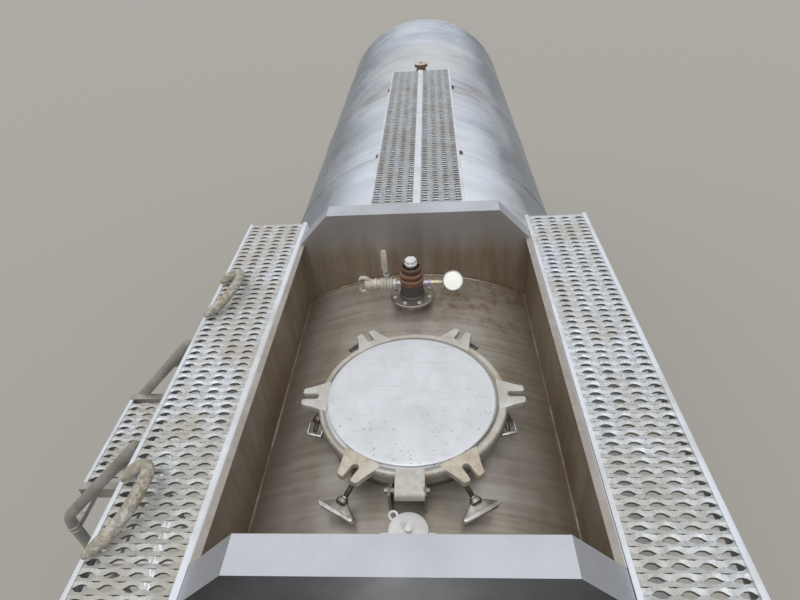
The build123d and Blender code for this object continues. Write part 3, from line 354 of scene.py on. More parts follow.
def lid_finish():
    """Blasted lid: near white, clouded, with rust pits, smudges and fine scratches, and painted shade round its
    rim.
    """
    material, tree, shader, place = new_finish("lid_blasted_steel")
    x, y, z = xyz(tree, place)
    cloud = stains(tree, place, 6.0, 0.5, 0.22)
    smudge = stains(tree, place, 17.0, 0.4, 0.2, (1, 1.7, 1))
    scratch = stains(tree, place, 3.0, 0.2, 0.05, (60, 2, 1))
    shade = over(tree, cloud, (0.75, 0.77, 0.81), (0.6, 0.61, 0.635))
    shade = over(tree, smudge, shade, (0.52, 0.525, 0.53), 0.42)
    shade = over(tree, scratch, shade, (0.4, 0.4, 0.42), 0.3)

    streaks = stains(tree, place, 9.0, 0.5, 0.14, (1, 1, 0.4))
    cream = over(tree, streaks, (0.56, 0.55, 0.51), (0.4, 0.34, 0.25))
    # Painted shade: the rim darkens down the outside of its roll and skirt.
    cream = over(tree, between(tree, z, 3.312, 3.296), cream, (0.2, 0.185, 0.16), 0.6)
    out = sums(tree, "SQRT", sums(tree, "ADD", times(tree, x, x), times(tree, y, y)))
    rim = between(tree, out, 0.268, 0.27)
    shade = over(tree, rim, shade, cream)
    # Painted shade: a dark band over the groove between the disc and the rim.
    shade = over(tree, band_mask(tree, out, 0.262, 0.272, 0.003), shade, (0.16, 0.145, 0.12), 0.75)

    corner = sums(tree, "ADD", x, times(tree, sums(tree, "ABSOLUTE", y), 0.9))
    front = between(tree, corner, 0.05, 0.28, 0.12, 1.0)
    pitted = times(tree, stains(tree, place, 5.0, 0.55, 0.1), front)
    pits = times(tree, use(tree, PITS, Vector=place, Scale=78.0, Share=0.42), pitted)
    dull = sums(tree, "MAXIMUM", pits, times(tree, rim, 0.5))
    fine = use(tree, GRAIN, Vector=place, Scale=420.0)
    feed(tree, shader, {
        "Base Color": over(tree, pits, shade, (0.12, 0.08, 0.055)),
        "Roughness": between(tree, cloud, 0, 1, 0.4, 0.55),
        "Metallic": between(tree, dull, 0, 1, 0.6, 0.0),
        "Normal": relief(tree, sums(tree, "SUBTRACT", times(tree, fine, 0.4), pits), 0.3),
    })
    return material


def ear_finish():
    """Cast ears and hinge tongue: grey-white, and tan with rust on the two ears in front."""
    material, tree, shader, place = new_finish("ear_castings")
    x, y, _ = xyz(tree, place)
    worn = stains(tree, place, 13.0, 0.5, 0.15)
    spots = stains(tree, place, 38.0, 0.34, 0.1)
    pale = over(tree, worn, (0.61, 0.61, 0.585), (0.47, 0.45, 0.4))
    tan = over(tree, worn, (0.6, 0.57, 0.5), (0.48, 0.41, 0.31))
    aside = between(tree, sums(tree, "ABSOLUTE", y), 0.06, 0.09)
    front = times(tree, between(tree, x, 0.1, 0.2), aside)
    shade = over(tree, front, pale, tan)
    rusty = times(tree, spots, between(tree, front, 0, 1, 0.25, 0.5))
    feed(tree, shader, {
        "Base Color": over(tree, rusty, shade, (0.34, 0.25, 0.16)),
        "Roughness": between(tree, worn, 0, 1, 0.42, 0.65),
        "Metallic": 0.4,
        "Normal": relief(tree, use(tree, GRAIN, Vector=place, Scale=320.0), 0.3),
    })
    return material


def grating_finish(name, dirt, tops, brightness=1.0):
    """Mill finish planks, with beige dirt in patches, and painted shade darkening the steep sides and lower
    parts of the strands.
    """
    material, tree, shader, place = new_finish(name)
    x, _, z = xyz(tree, place)
    # Painted shade: steep faces of the strands and a band down each strand's lower part turn nearly black.
    painted_shade = between(tree, facing(tree)[2], 0.72, 0.4)
    for top in tops:
        below = band_mask(tree, z, top - STRAND_DEEP - 0.004, top - 0.0066, 0.0012)
        painted_shade = sums(tree, "MAXIMUM", painted_shade, below)
    dirty = stains(tree, place, 6.0, dirt, 0.12)
    light, dull, beige = [
        tuple(part * brightness for part in shade)
        for shade in ((0.64, 0.665, 0.71), (0.44, 0.46, 0.485), (0.43, 0.385, 0.31))
    ]
    shade = over(tree, stains(tree, place, 60.0, 0.45, 0.1), light, dull)
    shade = over(tree, dirty, shade, beige, 0.7)
    trodden = times(tree, stains(tree, place, 11.0, 0.66, 0.16), between(tree, x, -0.1, 0.45, 0.0, 0.6))
    shade = over(tree, trodden, shade, (0.36, 0.35, 0.29))
    feed(tree, shader, {
        "Base Color": over(tree, painted_shade, shade, (0.1, 0.095, 0.07), 0.86),
        "Roughness": between(tree, dirty, 0, 1, 0.4, 0.7),
        "Metallic": between(tree, sums(tree, "MAXIMUM", dirty, painted_shade), 0, 1, 0.75, 0.2),
        "Normal": relief(tree, use(tree, GRAIN, Vector=place, Scale=500.0), 0.15),
    })
    return material


def sleeve_finish():
    """Sun-bleached hose, cracked, rubbed and dirty."""
    material, tree, shader, place = new_finish("bleached_hose")
    dirty = stains(tree, place, 9.0, 0.5, 0.14)
    cracks = stains(tree, place, 55.0, 0.42, 0.06)
    rubbed = stains(tree, place, 24.0, 0.4, 0.1)
    spots = use(tree, PITS, Vector=place, Scale=60.0, Share=0.2)
    shade = over(tree, dirty, (0.54, 0.52, 0.455), (0.36, 0.29, 0.19))
    shade = over(tree, rubbed, shade, (0.5, 0.51, 0.5), 0.6)
    shade = over(tree, cracks, shade, (0.25, 0.2, 0.13), 0.55)
    fine = use(tree, GRAIN, Vector=place, Scale=70.0)
    uneven = sums(tree, "SUBTRACT", fine, times(tree, cracks, 0.8))
    feed(tree, shader, {
        "Base Color": over(tree, spots, shade, (0.16, 0.12, 0.075), 0.8),
        "Roughness": 0.75,
        "Normal": relief(tree, uneven, 0.8, 0.004),
    })
    return material


FINISH = {
    "jacket": jacket_finish(),
    "box": box_finish(),
    "lid": lid_finish(),
    "ear": ear_finish(),
    "sleeve": sleeve_finish(),
    "grating_clean": grating_finish("walkway_planks", 0.32, [WALK_TOP]),
    "grating_dirty": grating_finish("curb_walkway_planks", 0.52, [WALK_TOP, STEP_TOP]),
    "grating_strip": grating_finish("strip_planks", 0.3, [STRIP_TOP], brightness=0.72),
}

# Other finishes: material, clean and stained colour, metallic, roughness from clean to stained,
# scale of the stains, and where they differ from the usual their coverage and the height of road dust
WEATHERED = {
    "collar": ("collar_steel", (0.36, 0.345, 0.32), (0.22, 0.19, 0.15), 1.0, (0.4, 0.6), 9),
    "bolt": ("bolt_steel", (0.4, 0.385, 0.36), (0.15, 0.125, 0.1), 1.0, (0.3, 0.55), 25),
    "keeper": ("keeper_plates", (0.2, 0.195, 0.185), (0.09, 0.08, 0.07), 1.0, (0.4, 0.6), 35),
    "wing": ("wing_nut_steel", (0.55, 0.54, 0.52), (0.22, 0.19, 0.16), 1.0, (0.25, 0.5), 20, 0.4),
    "flange": ("relief_flange_steel", (0.5, 0.48, 0.44), (0.27, 0.22, 0.17), 1.0, (0.35, 0.6), 16),
    "black_casting": ("relief_body_black", (0.06, 0.06, 0.062), (0.12, 0.1, 0.085), 0.2, (0.45, 0.7), 14),
    "rust": ("rusty_rings", (0.17, 0.075, 0.045), (0.3, 0.17, 0.11), 0.15, (0.6, 0.85), 18),
    "dark_ring": ("dark_rings", (0.05, 0.04, 0.037), (0.17, 0.09, 0.055), 0.2, (0.5, 0.8), 22),
    "bezel": ("gauge_bezel", (0.42, 0.42, 0.4), (0.24, 0.22, 0.2), 0.8, (0.3, 0.5), 30),
    "dial": ("gauge_dial", (0.92, 0.92, 0.85), (0.86, 0.86, 0.76), 0.0, (0.2, 0.3), 30),
    "cream": ("cream_valve", (0.64, 0.62, 0.56), (0.42, 0.35, 0.26), 0.25, (0.45, 0.65), 20, 0.35),
    "lilac": ("lilac_nipple", (0.5, 0.47, 0.56), (0.36, 0.32, 0.34), 0.7, (0.3, 0.5), 30),
    "brass": ("pale_brass", (0.74, 0.68, 0.5), (0.5, 0.42, 0.28), 0.8, (0.3, 0.5), 30),
    "white": ("white_cap", (0.8, 0.8, 0.79), (0.6, 0.58, 0.54), 0.1, (0.4, 0.6), 16, 0.35),
    "weld": ("box_foot_bead", (0.4, 0.36, 0.29), (0.26, 0.19, 0.12), 0.7, (0.4, 0.65), 12, 0.6),
    "plank_edge": (
        "plank_edge_aluminium", (0.76, 0.79, 0.84), (0.56, 0.55, 0.52), 0.6, (0.35, 0.55), 7, 0.22,
    ),
    "bracket": ("bracket_steel", (0.58, 0.59, 0.61), (0.42, 0.4, 0.38), 1.0, (0.32, 0.5), 8),
    "fitting": ("top_fitting_brown", (0.13, 0.075, 0.05), (0.24, 0.15, 0.1), 0.3, (0.5, 0.8), 18),
    "pale_cap": ("pale_cap", (0.66, 0.6, 0.54), (0.45, 0.36, 0.28), 0.1, (0.5, 0.7), 30),
    "tube": ("ladder_tube", (0.5, 0.475, 0.45), (0.34, 0.3, 0.26), 0.8, (0.42, 0.6), 8, 0.5, 2.0),
    "black": ("chassis_black", (0.045, 0.046, 0.05), (0.11, 0.1, 0.09), 0.0, (0.38, 0.62), 6, 0.5, 1.25),
    "grey_frame": ("frame_grey", (0.1, 0.105, 0.11), (0.19, 0.17, 0.15), 0.0, (0.42, 0.65), 6, 0.5, 1.4),
    "rubber": ("black_rubber", (0.028, 0.028, 0.03), (0.07, 0.065, 0.06), 0.0, (0.6, 0.8), 9, 0.5, 0.6),
    "steel": ("guard_steel", (0.62, 0.63, 0.65), (0.45, 0.44, 0.42), 1.0, (0.24, 0.45), 5, 0.5, 1.8),
    "wheel": ("wheel_aluminium", (0.62, 0.63, 0.65), (0.44, 0.42, 0.39), 1.0, (0.3, 0.5), 10, 0.5, 1.15),
    "drum": ("drum_iron", (0.13, 0.1, 0.085), (0.24, 0.14, 0.08), 0.5, (0.6, 0.85), 14, 0.5, 1.4),
    "nut": ("nut_steel", (0.48, 0.47, 0.45), (0.25, 0.2, 0.16), 0.9, (0.35, 0.6), 30, 0.5, 1.3),
    "blank": ("blank_plate_white", (0.62, 0.62, 0.6), (0.5, 0.48, 0.44), 0.0, (0.35, 0.5), 12, 0.5, 1.6),
    "lens": ("red_lens", (0.5, 0.02, 0.015), (0.34, 0.02, 0.015), 0.0, (0.12, 0.25), 30),
    "amber": ("amber_lens", (0.75, 0.28, 0.02), (0.6, 0.2, 0.02), 0.0, (0.12, 0.25), 30),
}
MOULDED = {"coat": 0.5, "bump": 0.3, "grain": 160.0}
PARTICULAR = {
    "rust": {"bump": 0.5},
    "dark_ring": {"bump": 0.4},
    "dial": {"coat": 0.6},
    "lens": MOULDED,
    "amber": MOULDED,
}
for key, row in WEATHERED.items():
    FINISH[key] = weathered(*row, **PARTICULAR.get(key, {}))

# Nodes of the frame that wear each finish
NODES_IN = {
    "jacket": ["tank_middle", "tank_front", "tank_rear", "jacket_bands"],
    "collar": ["manway_collar", "manway_lugs"],
    "lid": ["manway_lid"],
    "bolt": ["swing_bolts"],
    "black_casting": ["relief_valve"],
    "cream": ["air_valve"],
    "flange": ["pressure_gauge"],
    "white": ["cleaning_cap"],
    "box": ["spill_box_sides", "box_rails"],
    "grating_clean": ["side_walkways", "top_walkway"],
    "bracket": ["walkway_brackets"],
    "fitting": ["top_fitting"],
    "tube": ["ladder"],
    "grating_dirty": ["ladder_step"],
    "sleeve": ["grab_loop_front", "grab_loop_rear"],
    "black": ["coupler", "landing_gear", "trailing_arms", "axles", "air_tanks"],
    "grey_frame": ["front_connections", "landing_crank", "subframe"],
    "rubber": ["air_springs", "mud_flaps"],
    "steel": ["fenders", "rear_guard", "outlet_valve", "hose_tubes"],
    "lens": ["tail_lamps"],
    "wheel": [],
}
for axle in AXLES:
    for side in ("left", "right"):
        NODES_IN["rubber"].append(f"tyres_{axle}_{side}")
        NODES_IN["wheel"].append(f"wheel_{axle}_{side}")
for key, nodes in NODES_IN.items():
    for node in nodes:
        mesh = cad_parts[node].data
        mesh.materials.clear()
        mesh.materials.append(FINISH[key])

# Shapes of the new pieces


def fitted(name, shape, finish, node, body=TRAILER, replace=True, crease=35):
    """Makes a piece of a finished shape on its body, and hides the node it stands for when it replaces it."""
    mesh = bpy.data.meshes.new(name)
    shape.to_mesh(mesh)
    shape.free()
    mesh.shade_smooth()
    mesh.set_sharp_from_angle(angle=math.radians(crease))
    piece = bpy.data.objects.new(name, mesh)
    bpy.context.scene.collection.objects.link(piece)
    mesh.materials.append(FINISH[finish])
    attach(piece, body)
    if replace:
        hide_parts(node)


def verts_of(made):
    """Vertices that an operator made."""
    return [g for g in made["geom"] if isinstance(g, bmesh.types.BMVert)]


def faces_of(made):
    """Faces that an operator made."""
    return [g for g in made["geom"] if isinstance(g, bmesh.types.BMFace)]


def facing_along(run):
    """Turn that brings Z to a direction."""
    return run.to_track_quat("Z", "Y").to_matrix().to_4x4()


def around(count, right, up, shift=0.0):
    """Directions round a circle in the plane of two directions, shifted by a share of a step."""
    for n in range(count):
        angle = math.tau * (n + shift) / count
        yield right * math.cos(angle) + up * math.sin(angle)


def rectangle(half, low, high):
    """Outline of a rectangle as wide on both sides."""
    return [(-half, low), (half, low), (half, high), (-half, high)]


def mirrored(half):
    """Outline made of its right half, given upwards."""
    return half + [(-a, b) for a, b in reversed(half)]


def turned_over(outline, side):
    """Outline as it is, or turned over for the other side."""
    return [(side * a, b) for a, b in outline]


def folded(shape, outline, x0, x1, thickness):
    """Folded plate along X: its outline across, as (y, z), pulled along and given its thickness."""
    line = [shape.verts.new((x0, y, z)) for y, z in outline]
    edges = [shape.edges.new(pair) for pair in zip(line, line[1:])]
    pulled = bmesh.ops.extrude_edge_only(shape, edges=edges)
    bmesh.ops.translate(shape, verts=verts_of(pulled), vec=(x1 - x0, 0, 0))
    bmesh.ops.solidify(shape, geom=faces_of(pulled), thickness=thickness)


def turned(shape, profile, origin, along=UP, steps=48, closed=False, capped=True):
    """Turned shape: a profile of (radius, distance) spun round a line, capped there or closed as a ring."""
    along = along.normalized()
    out = along.orthogonal().normalized()
    origin = Vector(origin)
    if capped and not closed:
        start = [(0.0, profile[0][1])] if profile[0][0] else []
        end = [(0.0, profile[-1][1])] if profile[-1][0] else []
        profile = start + profile + end
    line = [shape.verts.new(origin + out * r + along * d) for r, d in profile]
    pairs = list(zip(line, line[1:]))
    if closed:
        pairs.append((line[-1], line[0]))
    edges = [shape.edges.new(pair) for pair in pairs]
    before = set(shape.verts) - set(line)
    bmesh.ops.spin(
        shape, geom=line + edges, cent=origin, axis=along, angle=math.tau, steps=steps,
        use_merge=True, use_duplicate=False, dvec=(0, 0, 0),
    )
    made = [v for v in shape.verts if v not in before]
    bmesh.ops.remove_doubles(shape, verts=made, dist=1e-6)
    made = [v for v in shape.verts if v not in before]
    faces = list({f for v in made for f in v.link_faces})
    bmesh.ops.recalc_face_normals(shape, faces=faces)


def slab(shape, outline, origin, right, up, thickness, rounding=0.0, segments=2):
    """Plate cut to an outline in the plane of two directions, with rounded edges."""
    origin, right, up = Vector(origin), right.normalized(), up.normalized()
    normal = right.cross(up)
    corners = [
        shape.verts.new(origin + right * a + up * b - normal * thickness / 2) for a, b in outline
    ]
    face = shape.faces.new(corners)
    grown = bmesh.ops.extrude_face_region(shape, geom=[face])
    bmesh.ops.translate(shape, verts=verts_of(grown), vec=normal * thickness)
    faces = list({f for v in corners + verts_of(grown) for f in v.link_faces})
    bmesh.ops.recalc_face_normals(shape, faces=faces)
    if rounding:
        edges = list({e for f in faces for e in f.edges})
        edges = [e for e in edges if len(e.link_faces) == 2 and e.calc_face_angle() > 0.6]
        bmesh.ops.bevel(
            shape, geom=edges, offset=rounding, offset_type="OFFSET", segments=segments,
            profile=0.5, affect="EDGES", material=-1, clamp_overlap=True,
        )


def rod(shape, start, end, radius, sides=20):
    """Round bar between two points."""
    start, end = Vector(start), Vector(end)
    run = end - start
    bmesh.ops.create_cone(
        shape, cap_ends=True, cap_tris=False, segments=sides, radius1=radius, radius2=radius,
        depth=run.length, matrix=Matrix.Translation((start + end) / 2) @ facing_along(run),
    )


def hex_head(shape, place, along, size, height):
    """Bolt head or nut, six sided, standing on a face."""
    along = along.normalized()
    place = Vector(place) + along * height / 2
    made = bmesh.ops.create_cone(
        shape, cap_ends=True, cap_tris=False, segments=6, radius1=size, radius2=size,
        depth=height, matrix=Matrix.Translation(place) @ facing_along(along),
    )
    rims = list({e for v in made["verts"] for e in v.link_edges})
    bmesh.ops.bevel(
        shape, geom=rims, offset=size * 0.1, offset_type="OFFSET", segments=1,
        profile=0.5, affect="EDGES", material=-1,
    )


def bead(shape, start, end, radius, pitch=0.009):
    """Weld bead: a run of small ripples between two points."""
    start, end = Vector(start), Vector(end)
    run = end - start
    steps = 2 * max(2, round(run.length / pitch))
    ring = bmesh.ops.create_circle(
        shape, cap_ends=False, segments=6, radius=radius,
        matrix=Matrix.Translation(start) @ facing_along(run),
    )["verts"]
    edges = list({e for v in ring for e in v.link_edges})
    for n in range(steps):
        pulled = bmesh.ops.extrude_edge_only(shape, edges=edges)
        ring = verts_of(pulled)
        bmesh.ops.translate(shape, verts=ring, vec=run / steps)
        centre = sum((v.co for v in ring), Vector()) / len(ring)
        swell = 1 / 0.78 if n % 2 else 0.78
        bmesh.ops.scale(shape, vec=(swell,) * 3, verts=ring, space=Matrix.Translation(-centre))
        edges = [g for g in pulled["geom"] if isinstance(g, bmesh.types.BMEdge)]


def skin(shape, rings, closed=False):
    """Faces between rings of vertices, one after the other."""
    faces = []
    after = rings[1:] + rings[:1] if closed else rings[1:]
    for one, other in zip(rings, after):
        for k in range(len(one)):
            k2 = (k + 1) % len(one)
            faces.append(shape.faces.new((one[k], one[k2], other[k2], other[k])))
    return faces


# Grab loops: hose sleeves standing as low arches on the curb side walkway
LOOP_ROUTE = [
    (0.102, 0.0, 0.0), (0.084, 0.020, 0.003), (0.050, 0.056, 0.020), (0.012, 0.080, 0.036),
    (-0.030, 0.091, 0.042), (-0.074, 0.091, 0.040), (-0.108, 0.084, 0.033), (-0.131, 0.065, 0.024),
    (-0.135, 0.040, 0.013), (-0.121, 0.017, 0.004), (-0.101, 0.0, 0.0),
]
LOOP_FOOT_Y = -0.736
LOOP_RADIUS = 0.017
LOOP_LIE = WALK_TOP + LOOP_RADIUS + 0.0003
LOOPS = [
    ("hose_sleeve_front", "grab_loop_front", 0.457),
    ("hose_sleeve_rear", "grab_loop_rear", -0.418),
]
for name, node, centre_x in LOOPS:
    sleeve = bpy.data.curves.new(name, "CURVE")
    sleeve.dimensions = "3D"
    spline = sleeve.splines.new("NURBS")
    spline.points.add(len(LOOP_ROUTE) - 1)
    for n, (x, y, z) in enumerate(LOOP_ROUTE):
        spline.points[n].co = (centre_x + x, LOOP_FOOT_Y + y, LOOP_LIE + z, 1)
        spline.points[n].radius = 0.42 if n in (0, len(LOOP_ROUTE) - 1) else 1.0
    spline.order_u = 3
    spline.use_endpoint_u = True
    spline.resolution_u = 10
    sleeve.bevel_depth = LOOP_RADIUS
    sleeve.bevel_resolution = 5
    sleeve.use_fill_caps = True
    sleeve.materials.append(FINISH["sleeve"])
    loop = bpy.data.objects.new(name, sleeve)
    bpy.context.scene.collection.objects.link(loop)
    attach(loop, TRAILER)
    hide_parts(node)

# Gratings: flat-lying strands, slit and spread into rows of lens-shaped openings
DIAMOND_WIDE = 0.0587
DIAMOND_LONG = 0.0294
OPENING = 0.0094
STRIP_OPENING = 0.0112
SMALL_ROW = 0.84
SLIT = 0.0026
TOOTH = 0.0009
STRAND_STEPS = 10
PLANK_DEEP = 0.045
STRIP_DEEP = 0.038
STRIP_GAP = 0.006


def clamped(value):
    """A value kept between none and one."""
    return min(1.0, max(0.0, value))


def strand(shape, heading, low, high, column, top, opening):
    """One strand of a pair: it parts from its twin at the slits, and from the next pair at the openings."""
    steps = round((high - low) / DIAMOND_WIDE * STRAND_STEPS)
    verts = bmesh.ops.create_grid(shape, x_segments=4, y_segments=steps, size=0.5)["verts"]
    for v in verts:
        along = v.co.y + 0.5
        corner = round((v.co.x + 0.5) * 4) % 4
        y = low + along * (high - low)
        phase = abs(((y - column) / DIAMOND_WIDE + 0.5) % 1.0 - 0.5) * 2
        shut = clamped((phase - 0.16) / 0.6)
        shut = shut * shut * (3 - 2 * shut)
        parted = clamped((phase - 0.5) / 0.45)
        tooth = TOOTH if round(along * steps) % 2 else -TOOTH
        inner = SLIT * parted
        outer = DIAMOND_LONG / 2 - opening * (1 - shut) + 0.0002
        if heading > 0:
            inner_top, outer_top = tooth, -0.0034 - 0.0008 * shut
        else:
            inner_top, outer_top = -0.0042 * parted, -0.0006 - 0.0038 * shut + tooth
        x = inner if corner in (0, 3) else outer
        if corner == 0:
            z = top - TOOTH + inner_top
        elif corner == 1:
            z = top - TOOTH + outer_top
        else:
            z = top - STRAND_DEEP
        v.co = (heading * x, y, z)
    bmesh.ops.remove_doubles(shape, verts=verts, dist=1e-6)
    verts = [v for v in verts if v.is_valid]
    rims = list({e for v in verts for e in v.link_edges if e.is_boundary})
    bmesh.ops.holes_fill(shape, edges=rims, sides=4)
    faces = list({f for v in verts for f in v.link_faces})
    bmesh.ops.recalc_face_normals(shape, faces=faces)
    return faces


def grating(name, finish, node, inner, outer, column, depth=PLANK_DEEP, margin=0.015, opening=OPENING):
    """Plank of safety grating along X: turned-down sides, and strands with large and small openings by turns."""
    shape = bmesh.new()
    plank_low, plank_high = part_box(node)
    x0, x1, top = plank_low.x, plank_high.x, plank_high.z
    low, high = min(inner, outer), max(inner, outer)
    units = []
    for large in (1, -1):
        faces = []
        for heading in (-1, 1):
            spread = opening if heading == large else opening * SMALL_ROW
            faces += strand(shape, heading, low + margin, high - margin, column, top, spread)
        units.append(faces)
    count = int((x1 - x0 - 0.004) / DIAMOND_LONG)
    start = (x0 + x1) / 2 - (count - 1) / 2 * DIAMOND_LONG
    for n in range(2, count):
        copy = bmesh.ops.duplicate(shape, geom=units[n % 2])
        bmesh.ops.translate(shape, verts=verts_of(copy), vec=(start + n * DIAMOND_LONG, 0, 0))
    for n, faces in enumerate(units):
        first = list({v for f in faces for v in f.verts})
        bmesh.ops.translate(shape, verts=first, vec=(start + n * DIAMOND_LONG, 0, 0))
    fitted(name, shape, finish, node, crease=30)
    edges = bmesh.new()
    for edge, inward in ((low, 1), (high, -1)):
        section = [
            (0.016, 0.0012 - depth), (0.0012, 0.0012 - depth), (0.0012, -0.005), (0.002, -0.0024),
            (0.004, -0.0013), (margin, -0.0013), (margin + 0.001, -0.009),
        ]
        outline = [(edge + inward * across, top + rise) for across, rise in section]
        folded(edges, outline, x0, x1, 0.0024)
    fitted(name + "_edges", edges, "plank_edge", node, crease=30)


def make_gratings():
    """Planks beside the spill box, the two of the top walkway with their joint, and the ladder's step."""
    low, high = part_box("side_walkways")
    road, curb = high.y - 0.036, low.y + 0.036
    grating("road_walkway_grating", "grating_clean", "side_walkways", 0.486, high.y, road)
    grating("curb_walkway_grating", "grating_dirty", "side_walkways", -0.486, low.y, curb)
    low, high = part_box("top_walkway")
    for name, sign in (("strip_plank_road", 1), ("strip_plank_curb", -1)):
        grating(
            name, "grating_strip", "top_walkway", sign * STRIP_GAP, sign * high.y,
            sign * (STRIP_GAP + 0.0032 + DIAMOND_WIDE / 2), STRIP_DEEP, margin=0.012, opening=STRIP_OPENING,
        )
    joint = bmesh.new()
    cover = mirrored([(0.013, -0.001), (0.013, 0.0006), (0.011, 0.0014)])
    middle = ((low.x + high.x) / 2, 0, STRIP_TOP - 0.0014)
    slab(joint, cover, middle, ROADSIDE, UP, high.x - low.x - 0.004)
    fitted("strip_joint_cover", joint, "plank_edge", "top_walkway", replace=False)
    low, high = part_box("ladder_step")
    grating("ladder_step_grating", "grating_dirty", "ladder_step", high.y, low.y, low.y + 0.038)


make_gratings()

# Strand tips trodden up along the curb side plank, and clips that hold the top walkway down
TREAD_TIPS = [
    (0.464, -0.5775), (0.4935, -0.5725), (0.523, -0.5735),
    (0.552, -0.572), (0.5815, -0.5705), (0.611, -0.569),
]
STRIP_CLIPS = (-3.6, -2.2)
CLIP_Y = 0.262


def make_tips_and_clips():
    tips = bmesh.new()
    outline = [(-0.012, -0.008), (0.012, -0.008), (0.0115, 0.002), (0.004, 0.0075), (-0.008, 0.006)]
    across = Vector((0.2, 1.0, 0)).normalized()
    for n, (x, y) in enumerate(TREAD_TIPS):
        lean = Vector((0.28 + 0.06 * (n % 3), 0.12, 1.0)).normalized()
        slab(tips, outline, (x, y, WALK_TOP - 0.004), across, lean.cross(across), 0.0018)
    fitted("trodden_tips", tips, "plank_edge", "side_walkways", replace=False)
    clips = bmesh.new()
    slope = math.asin(CLIP_Y / BARREL_RADIUS)
    for x in STRIP_CLIPS:
        for side in (-1, 1):
            up = Vector((0, side * math.sin(slope), math.cos(slope)))
            foot = Vector((x, 0, BARREL_AXIS)) + up * (BARREL_RADIUS + 0.001)
            along = Vector((0, math.cos(slope), -side * math.sin(slope)))
            slab(clips, rectangle(0.016, -0.018, 0.018), foot, AHEAD, along, 0.005)
            rod(clips, foot, foot + up * 0.012, 0.006, sides=10)
            hex_head(clips, foot + up * 0.0025, up, 0.016, 0.009)
    fitted("strip_clips", clips, "fitting", "tank_rear", replace=False)


make_tips_and_clips()

# Manway lid: turned disc with its skirt, cast ears and hinge tongue
LID_CENTRE = Vector((-0.01, 0.007, 3.3123))
LID_BODY = "manway_lid"
EAR_ANGLES = (30, 90, 150, 210, 270, 330)
LID_PROFILE = [
    (0.0, 0.0168), (0.12, 0.0162), (0.2, 0.0146), (0.248, 0.0128), (0.2605, 0.0116), (0.2645, 0.0098),
    (0.2658, 0.0066), (0.2666, 0.0026), (0.2695, 0.0026), (0.2708, 0.0052), (0.2775, 0.006),
    (0.2865, 0.0055), (0.2905, 0.003), (0.2925, -0.0015), (0.2932, -0.008), (0.2932, -0.036),
    (0.2905, -0.039), (0.2855, -0.039), (0.2855, -0.0117),
]
TONGUE = [
    (0.262, 3.3215), (0.3, 3.322), (0.326, 3.3215), (0.3365, 3.3195), (0.344, 3.3145), (0.3475, 3.307),
    (0.3475, 3.2985), (0.343, 3.295), (0.312, 3.296), (0.3, 3.3015), (0.262, 3.3035),
]


def spoke(angle):
    """Directions out from the manway's centre at an angle, and along its rim."""
    a = math.radians(angle)
    return Vector((math.cos(a), math.sin(a), 0)), Vector((-math.sin(a), math.cos(a), 0))


def ear_outline():
    """Forked ear, (along the rim, out), with the keyhole of its fork."""
    half = [
        (0.0635, 0.262), (0.0555, 0.284), (0.0455, 0.308), (0.038, 0.33), (0.0355, 0.341), (0.031, 0.3465),
        (0.0165, 0.348), (0.0112, 0.3445), (0.0104, 0.326),
    ]
    half += [(0.0118 * math.cos(a), 0.307 + 0.0118 * math.sin(a)) for a in (0.35, -0.3, -0.9, -1.35)]
    return mirrored(half)


def make_lid():
    disc = bmesh.new()
    turned(disc, LID_PROFILE, LID_CENTRE, steps=96)
    fitted("lid_disc", disc, "lid", "manway_lid", body=LID_BODY)
    castings = bmesh.new()
    seat = LID_CENTRE - UP * 0.0035
    for angle in EAR_ANGLES:
        out, side = spoke(angle)
        slab(castings, ear_outline(), seat, side, out, 0.021, rounding=0.0036, segments=3)
    slab(castings, TONGUE, (0, LID_CENTRE.y, 0), AHEAD, UP, 0.0815, rounding=0.003, segments=3)
    fitted("lid_castings", castings, "ear", "manway_lid", body=LID_BODY, crease=40)


make_lid()

# Swing bolts: eye, threaded shank, nut and T bar or keeper, let down beside their ears
BOLT_PIVOT_RADIUS = 0.284
BOLT_PIVOT_Z = 3.27
BOLT_DROOPS = {30: 16, 90: 22, 150: 16, 210: 16, 270: 22, 330: 16}
NUT_PLACES = {30: 0.07, 90: 0.024, 150: 0.05, 210: 0.05, 270: 0.024, 330: 0.07}
SPLAY = {90: -78, 150: -14, 210: 14, 270: 78}
T_BARS = (30, 330)


def hang(angle):
    """Pivot of a swing bolt, the way it hangs, and across its handle."""
    pivot = UP * BOLT_PIVOT_Z + spoke(angle)[0] * BOLT_PIVOT_RADIUS
    out, side = spoke(angle + SPLAY.get(angle, 0))
    tilt = math.radians(BOLT_DROOPS[angle])
    return pivot, out * math.cos(tilt) - UP * math.sin(tilt), side


def swing_bolt(shape, angle):
    """Eye on its pin, threaded shank and nut with its collar."""
    pivot, along, side = hang(angle)
    rod(shape, pivot - side * 0.008, pivot + side * 0.008, 0.013, sides=24)
    rod(shape, pivot, pivot + along * 0.036, 0.0078, sides=16)
    thread = [(0.0, 0.034)]
    for n in range(18):
        thread += [(0.0082, 0.035 + n * 0.0025), (0.007, 0.03625 + n * 0.0025)]
    turned(shape, thread + [(0.0, 0.08)], pivot, along, steps=16)
    hub = [(0.0125, 0.0), (0.0125, 0.005), (0.0175, 0.008), (0.018, 0.018), (0.0135, 0.024)]
    turned(shape, hub, pivot + along * NUT_PLACES[angle], along, steps=24)


def t_bar(webs, bars, angle):
    """Handle past the nut: a bar on the wide edge of a three-cornered web."""
    pivot, along, side = hang(angle)
    web = mirrored([(0.0135, 0.077), (0.02, 0.0855), (0.056, 0.108), (0.056, 0.115)])
    slab(webs, web, pivot, side, along, 0.011, rounding=0.0025)
    bar = mirrored([(0.0585, 0.11), (0.0585, 0.1185), (0.05, 0.1225)])
    slab(bars, bar, pivot, side, along, 0.027, rounding=0.0028)


